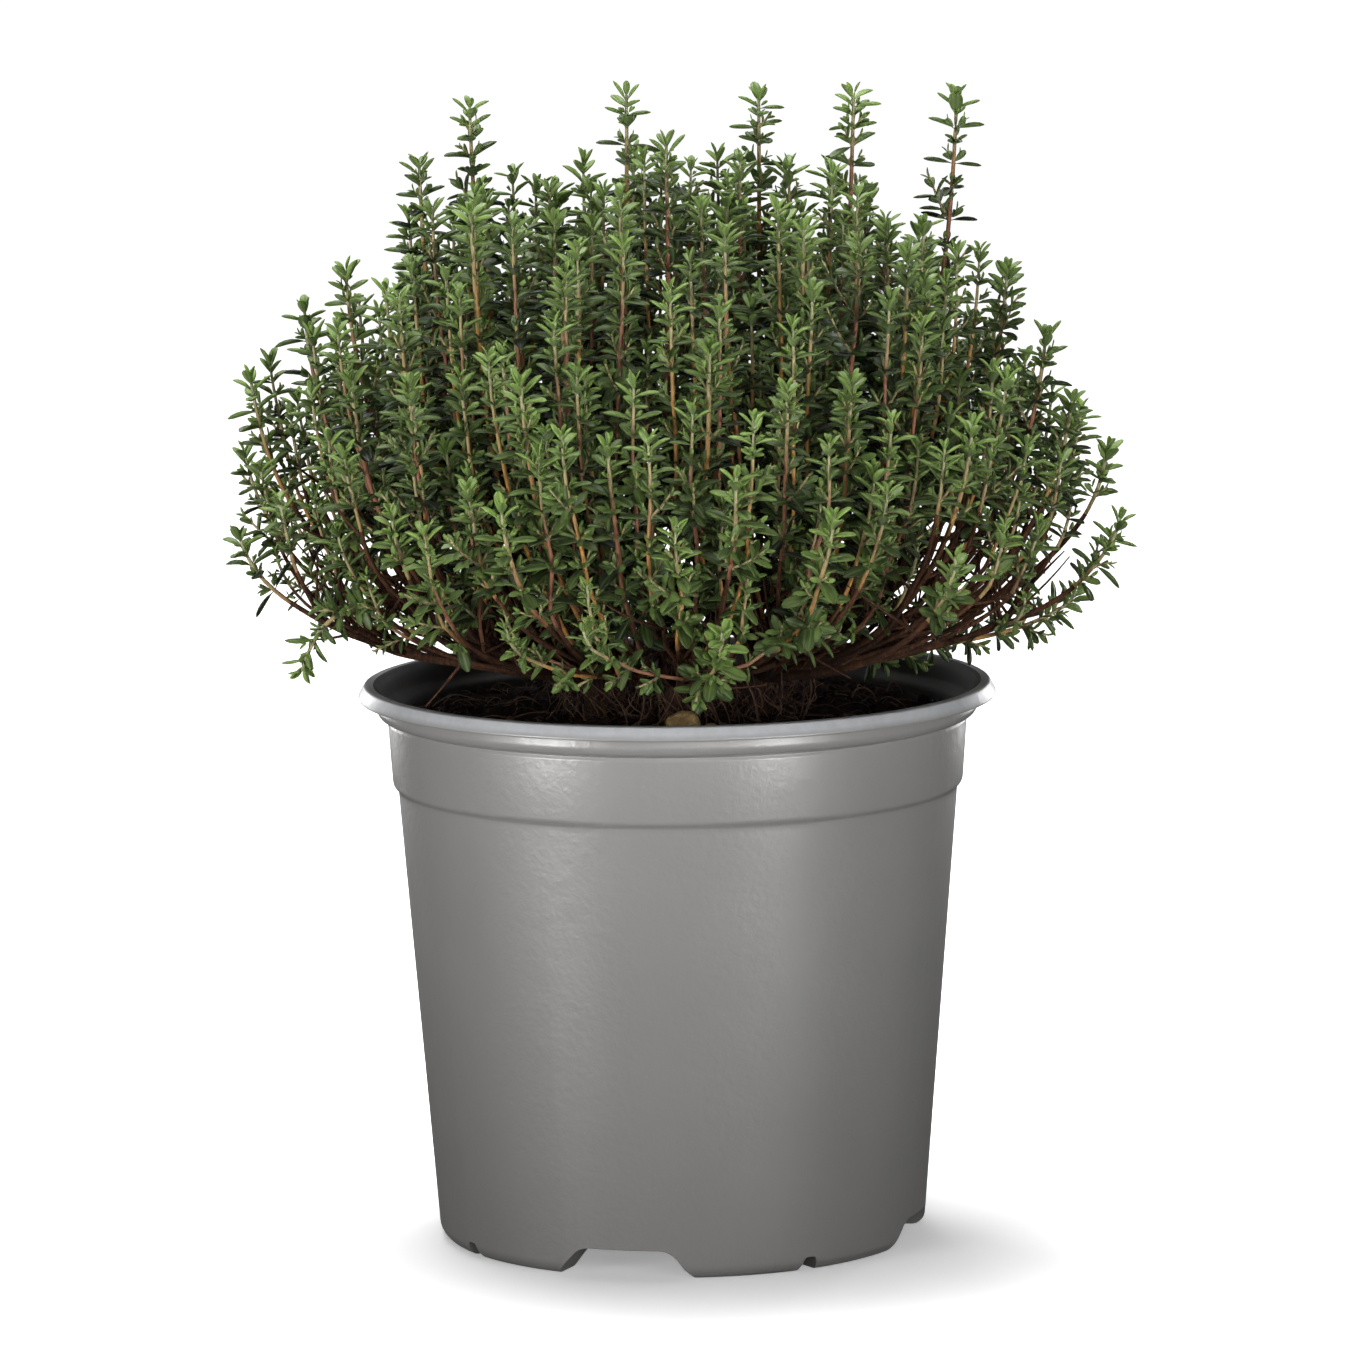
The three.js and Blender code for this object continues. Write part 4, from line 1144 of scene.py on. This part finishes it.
class THYME_OT_stones(Operator):
    """Two limestone chips that lie on the peat"""

    bl_idname = "thyme.stones"
    bl_label = "Stones"

    def execute(self, context):
        material = stone_material(context.scene.thyme_colours)
        for index, (name, (at, size, turn)) in enumerate(STONES.items()):
            made = bmesh.new()
            bmesh.ops.create_icosphere(made, subdivisions=5, radius=1.0)
            points = np.array([v.co for v in made.verts])
            x, y, z = points.T
            swell = 1 + 0.07 * np.sin(3.1 * x + 1.7 * y) + 0.05 * np.cos(4.3 * z + 2 * x)
            lumps = soft_noise(points + index * 9, 0.6) - 0.5
            swell += lumps * 0.16 + (soft_noise(points, 0.2) - 0.5) * 0.05
            points = points * swell[:, None] * size
            points = points @ np.array(Matrix.Rotation(turn, 3, "Z")).T
            points += (at[0], at[1], soil_height(*at) + size[2] * 0.75)
            for vertex, place in zip(made.verts, points * MM):
                vertex.co = place
            for face in made.faces:
                face.smooth = True
            mesh = settled(made, bpy.data.meshes.new(name + "_chip"))
            mesh.materials.append(material)
            ride_for(linked(name + "_chip", mesh), "stone", name)
        return {"FINISHED"}


class THYME_OT_plants(Operator):
    """Woody stocks, bare branches and leafy sprigs of the six plants"""

    bl_idname = "thyme.plants"
    bl_label = "Plants"

    def execute(self, context):
        scene = context.scene
        look, sizes = scene.thyme_colours, scene.thyme_sizes
        leaf, stem_skin, bark = leaf_material(look), stem_material(look), bark_material(look)
        rootlet = rootlet_material(look)
        roots = plant_roots()
        leads = lead_tips()
        rng = np.random.default_rng(sizes.seed)
        fills = fill_tips(leads, rng, sizes.fullness)
        wood = [Heap() for _ in roots]
        sprigs = [Heap() for _ in leads]
        parents = []
        for index, tip in enumerate(leads):
            plant = nearest_plant(roots, tip)
            own = np.random.default_rng([sizes.seed, index])
            hanging = tip in HANGING_TIPS
            stem = Stem(roots[plant], tip, hanging, sizes.stem_sway * 0.6, own)
            parents.append(stem)
            leafy = HANGING_LENGTH if hanging else self.leafy_length(stem, own)
            add_sprig(sprigs[index], stem, leafy, own, sizes.vigour * 1.02)
            self.add_branch(wood[plant], stem, leafy, own)
        places = np.array(leads)
        for index, tip in enumerate(fills):
            nearest = int(np.argmin(np.linalg.norm(places - tip, axis=1)))
            plant = nearest_plant(roots, tip)
            own = np.random.default_rng([sizes.seed, 1000 + index])
            root = self.fork(parents[nearest], own)
            stem = Stem(root, tip, False, sizes.stem_sway, own, own.uniform(0.02, 0.16))
            leafy = self.leafy_length(stem, own)
            low = tip[2] < LOW_TIP
            # Sprigs low or inside the bush get painted shade: their leaves keep less of their tone.
            in_painted_shade = low or (math.hypot(tip[0], tip[1]) < 60 and tip[2] < 185)
            vigour = sizes.vigour * own.uniform(0.82, 1.0) * (0.7 if low else 1.0)
            add_sprig(sprigs[nearest], stem, leafy, own, vigour, False, in_painted_shade)
            self.add_branch(wood[plant], stem, leafy, own, 0.55, 0.42)
        for plant, root in enumerate(roots):
            own = np.random.default_rng([sizes.seed, 5000 + plant])
            self.add_stock(wood[plant], root, own)
            piece = wood[plant].piece(f"woody_stock_{plant + 1}", [bark, rootlet])
            ride_for(piece, "bark", f"wood_{plant + 1}")
        for index, heap in enumerate(sprigs):
            piece = heap.piece(f"leafy_sprig_{index + 1:02d}", [leaf, stem_skin])
            ride_for(piece, "foliage", f"sprig_{index + 1:02d}")
        return {"FINISHED"}

    def fork(self, parent, rng):
        """A place low on a leading stem, where another stem branches off."""
        low = float(parent.reach[int(np.argmax(parent.path[:, 2] > FORK_HEIGHT))])
        return parent.at(low * rng.uniform(0.1, 1.0))[0]

    def leafy_length(self, stem, rng):
        """Leaves start where the stem has risen clear of the dark middle of the bush."""
        x, y, tip_height = stem.path[-1]
        in_front = y < -25 and abs(x) < 52
        bare_height = rng.uniform(*(LEAF_START_FRONT if in_front else LEAF_START_REST))
        if abs(x) > 60:
            bare_height += rng.uniform(0, LEAF_RISE_FLANK)
        bare_height = min(bare_height, tip_height - 14)
        above = stem.path[:, 2] > bare_height
        start = float(stem.reach[int(np.argmax(above))])
        return float(np.clip(stem.length - start, 14, stem.length * 0.86))

    def add_branch(self, heap, stem, leafy, rng, girth=1.0, least=0.52):
        """The bare part of a stem, with a few dry twigs."""
        bare = stem.length - leafy
        distances = np.linspace(0, bare + 0.6, max(8, int(bare / 2.2)))
        radii = np.interp(distances, (0, bare), (max(least + 0.03, girth * rng.uniform(0.95, 1.3)), least))
        skin = tube(stem.at(distances), radii, 6, 0.16, rng.uniform(0, 99))
        ages = np.interp(distances, (0, bare), (1, 0.1))
        heap.add(*skin, stem_traits(rng.random(), ages, 6), 0)
        for _ in range(rng.integers(1, 4)):
            at = stem.at(rng.uniform(0.25, 1.0) * bare)[0]
            heading = unit(rng.normal(size=3) * (1, 1, 0.5) + (0, 0, 0.6))
            steps = np.linspace(0, 1, 7)[:, None]
            twig = at + heading * steps * rng.uniform(5, 18) + UP * steps**2 * rng.uniform(0, 6)
            # Twigs keep clear of the peat and inside the bush.
            if twig[:, 2].min() < 111 or np.hypot(twig[:, 0], twig[:, 1]).max() > 82:
                continue
            heap.add(*tube(twig, np.linspace(0.42, 0.14, 7), 5), (rng.random(), 0.5, 0, 0), 0)

    def add_stock(self, heap, root, rng):
        """The stock: a gnarled stem in the peat, in a ruff of old shredded roots."""
        foot = root[2] - STOCK_HEIGHT - STOCK_DEPTH
        buried = np.linspace(foot, root[2] - STOCK_HEIGHT, 6)
        heights = np.concatenate([buried, np.linspace(root[2] - 6, root[2] + 1, 9)])
        radii = np.interp(heights, (foot, root[2] - 8, root[2] - 3, root[2] + 1), (2.2, 2.6, 2.35, 1.9))
        path = np.stack([np.full(15, root[0]), np.full(15, root[1]), heights], -1)
        heap.add(*tube(path, radii, 16, 0.14, rng.uniform(0, 99)), (0.5, 1, 0, 0), 0)
        for _ in range(RUFF_STRANDS):
            angle, away = rng.uniform(0, 2 * math.pi), rng.uniform(1, 12)
            x, y = root[0] + math.cos(angle) * away, root[1] + math.sin(angle) * away
            length = rng.uniform(4, 17)
            steps = np.linspace(0, 1, 8)
            lean = rng.normal(0, 0.35, 2) - np.array((math.cos(angle), math.sin(angle))) * 0.25
            curl = rng.uniform(0.3, 1.6)
            strand = np.stack([
                x + lean[0] * length * steps + np.sin(steps * rng.uniform(2, 7)) * curl,
                y + lean[1] * length * steps + np.cos(steps * rng.uniform(2, 7)) * curl,
                soil_height(x, y) - 0.6 + length * steps * rng.uniform(0.5, 1.0),
            ], -1)
            girth = np.linspace(0.2, 0.08, 8)
            heap.add(*tube(strand, girth, 4), (rng.uniform(0.2, 0.95), 0, 0, 0), 1)


class THYME_OT_studio(Operator):
    """White lit table, soft lights and the camera"""

    bl_idname = "thyme.studio"
    bl_label = "Studio"

    def execute(self, context):
        scene = context.scene
        look, studio = scene.thyme_colours, scene.thyme_studio
        made = bmesh.new()
        bmesh.ops.create_grid(made, x_segments=24, y_segments=24, size=6.0)
        floor = linked("lit_table", settled(made, bpy.data.meshes.new("lit_table")))
        floor.data.materials.append(floor_material(look))
        floor.location = (0, 0, -0.0001)
        # The table throws no light back, so the pot darkens towards its foot.
        floor.visible_diffuse = floor.visible_glossy = False
        middle, bush = (0, 0, 0.1), (0, 0, 0.175)
        self.add_light("front_softbox", (0.06, -0.6, 0.2), middle, (0.3, 0.15), studio.key)
        # Grids on the two low softboxes keep their light on the bush and the pot's upper half.
        self.add_light("left_softbox", (-0.45, -0.4, 0.14), bush, (0.18, 0.24), studio.left, 50)
        self.add_light("right_softbox", (0.36, -0.48, 0.14), bush, (0.16, 0.24), studio.right, 50)
        self.add_light("back_softbox", (-0.25, 0.95, 0.95), middle, (0.45, 0.45), studio.back)
        self.add_light("top_softbox", (-0.1, 0.2, 1.15), middle, (0.6, 0.6), studio.top)
        self.add_light("left_rim", (-0.36, 0.6, 0.14), middle, (0.1, 0.3), studio.rim, 60)
        self.add_light("right_rim", (0.36, 0.6, 0.14), middle, (0.1, 0.3), studio.rim, 60)
        self.add_surroundings(scene, studio.fill)
        self.add_camera(scene, studio)
        scene.view_settings.view_transform = "Standard"
        return {"FINISHED"}

    def add_light(self, name, at, aim, size, power, spread=180):
        """A softbox that the camera doesn't see; a grid narrows its spread, in degrees."""
        data = bpy.data.lights.new(name, "AREA")
        data.shape = "RECTANGLE"
        data.size, data.size_y = size
        data.energy, data.spread = power, math.radians(spread)
        light = linked(name, data)
        light.visible_camera = False
        light.location = at
        light.rotation_euler = (Vector(aim) - Vector(at)).to_track_quat("-Z", "Y").to_euler()

    def add_surroundings(self, scene, fill):
        """White all round, seen at full brightness but lighting the object more gently."""
        world = bpy.data.worlds.new("white_surroundings")
        world.use_nodes = True
        tree = world.node_tree
        tree.nodes.clear()
        seen = node(tree, "ShaderNodeLightPath").outputs["Is Camera Ray"]
        strength = node(tree, MAP, {"Value": seen, "To Min": fill, "To Max": 1.0})
        back = node(tree, "ShaderNodeBackground", {"Color": WHITE, "Strength": strength})
        node(tree, "ShaderNodeOutputWorld", {"Surface": back})
        scene.world = world

    def add_camera(self, scene, studio):
        """The camera, a little higher than the bush and turned down to it."""
        data = bpy.data.cameras.new("camera")
        data.sensor_width = 36.0
        data.lens = studio.lens
        data.clip_end = 20.0
        # The aim point lies 6 of the image's 1366 pixels left of its middle and 2 below it.
        data.shift_x, data.shift_y = 6 / PICTURE_WIDTH, 2 / PICTURE_WIDTH
        camera = linked("camera", data)
        rise = studio.distance * math.tan(studio.elevation)
        camera.location = (0, -studio.distance, studio.aim + rise)
        look_down = Matrix.Rotation(math.pi / 2 - studio.elevation, 4, "X")
        roll = Matrix.Rotation(CAMERA_ROLL, 4, "Z")
        camera.rotation_euler = (look_down @ roll).to_euler()
        scene.camera = camera


class THYME_PT_panel(Panel):
    """Sizes, colours and build steps of the potted thyme"""

    bl_label = "Potted thyme"
    bl_idname = "THYME_PT_panel"
    bl_space_type = "VIEW_3D"
    bl_region_type = "UI"
    bl_category = "Thyme"

    def draw(self, context):
        for group in (context.scene.thyme_sizes, context.scene.thyme_colours, context.scene.thyme_studio):
            box = self.layout.box()
            for name in group.__annotations__:
                box.prop(group, name)
        for operator in OPERATORS:
            self.layout.operator(operator.bl_idname)


GROUPS = {"thyme_colours": ThymeColours, "thyme_sizes": ThymeSizes, "thyme_studio": StudioSettings}
OPERATORS = (THYME_OT_pot, THYME_OT_soil, THYME_OT_stones, THYME_OT_plants, THYME_OT_studio)


def register():
    for group in GROUPS.values():
        bpy.utils.register_class(group)
    for name, group in GROUPS.items():
        setattr(bpy.types.Scene, name, PointerProperty(type=group))
    for cls in (*OPERATORS, THYME_PT_panel):
        bpy.utils.register_class(cls)


def unregister():
    for cls in (THYME_PT_panel, *reversed(OPERATORS)):
        bpy.utils.unregister_class(cls)
    for name in GROUPS:
        delattr(bpy.types.Scene, name)
    for group in reversed(GROUPS.values()):
        bpy.utils.unregister_class(group)


def main():
    register()
    bpy.ops.thyme.pot()
    bpy.ops.thyme.soil()
    bpy.ops.thyme.stones()
    bpy.ops.thyme.plants()
    bpy.ops.thyme.studio()


if __name__ == "__main__":
    main()
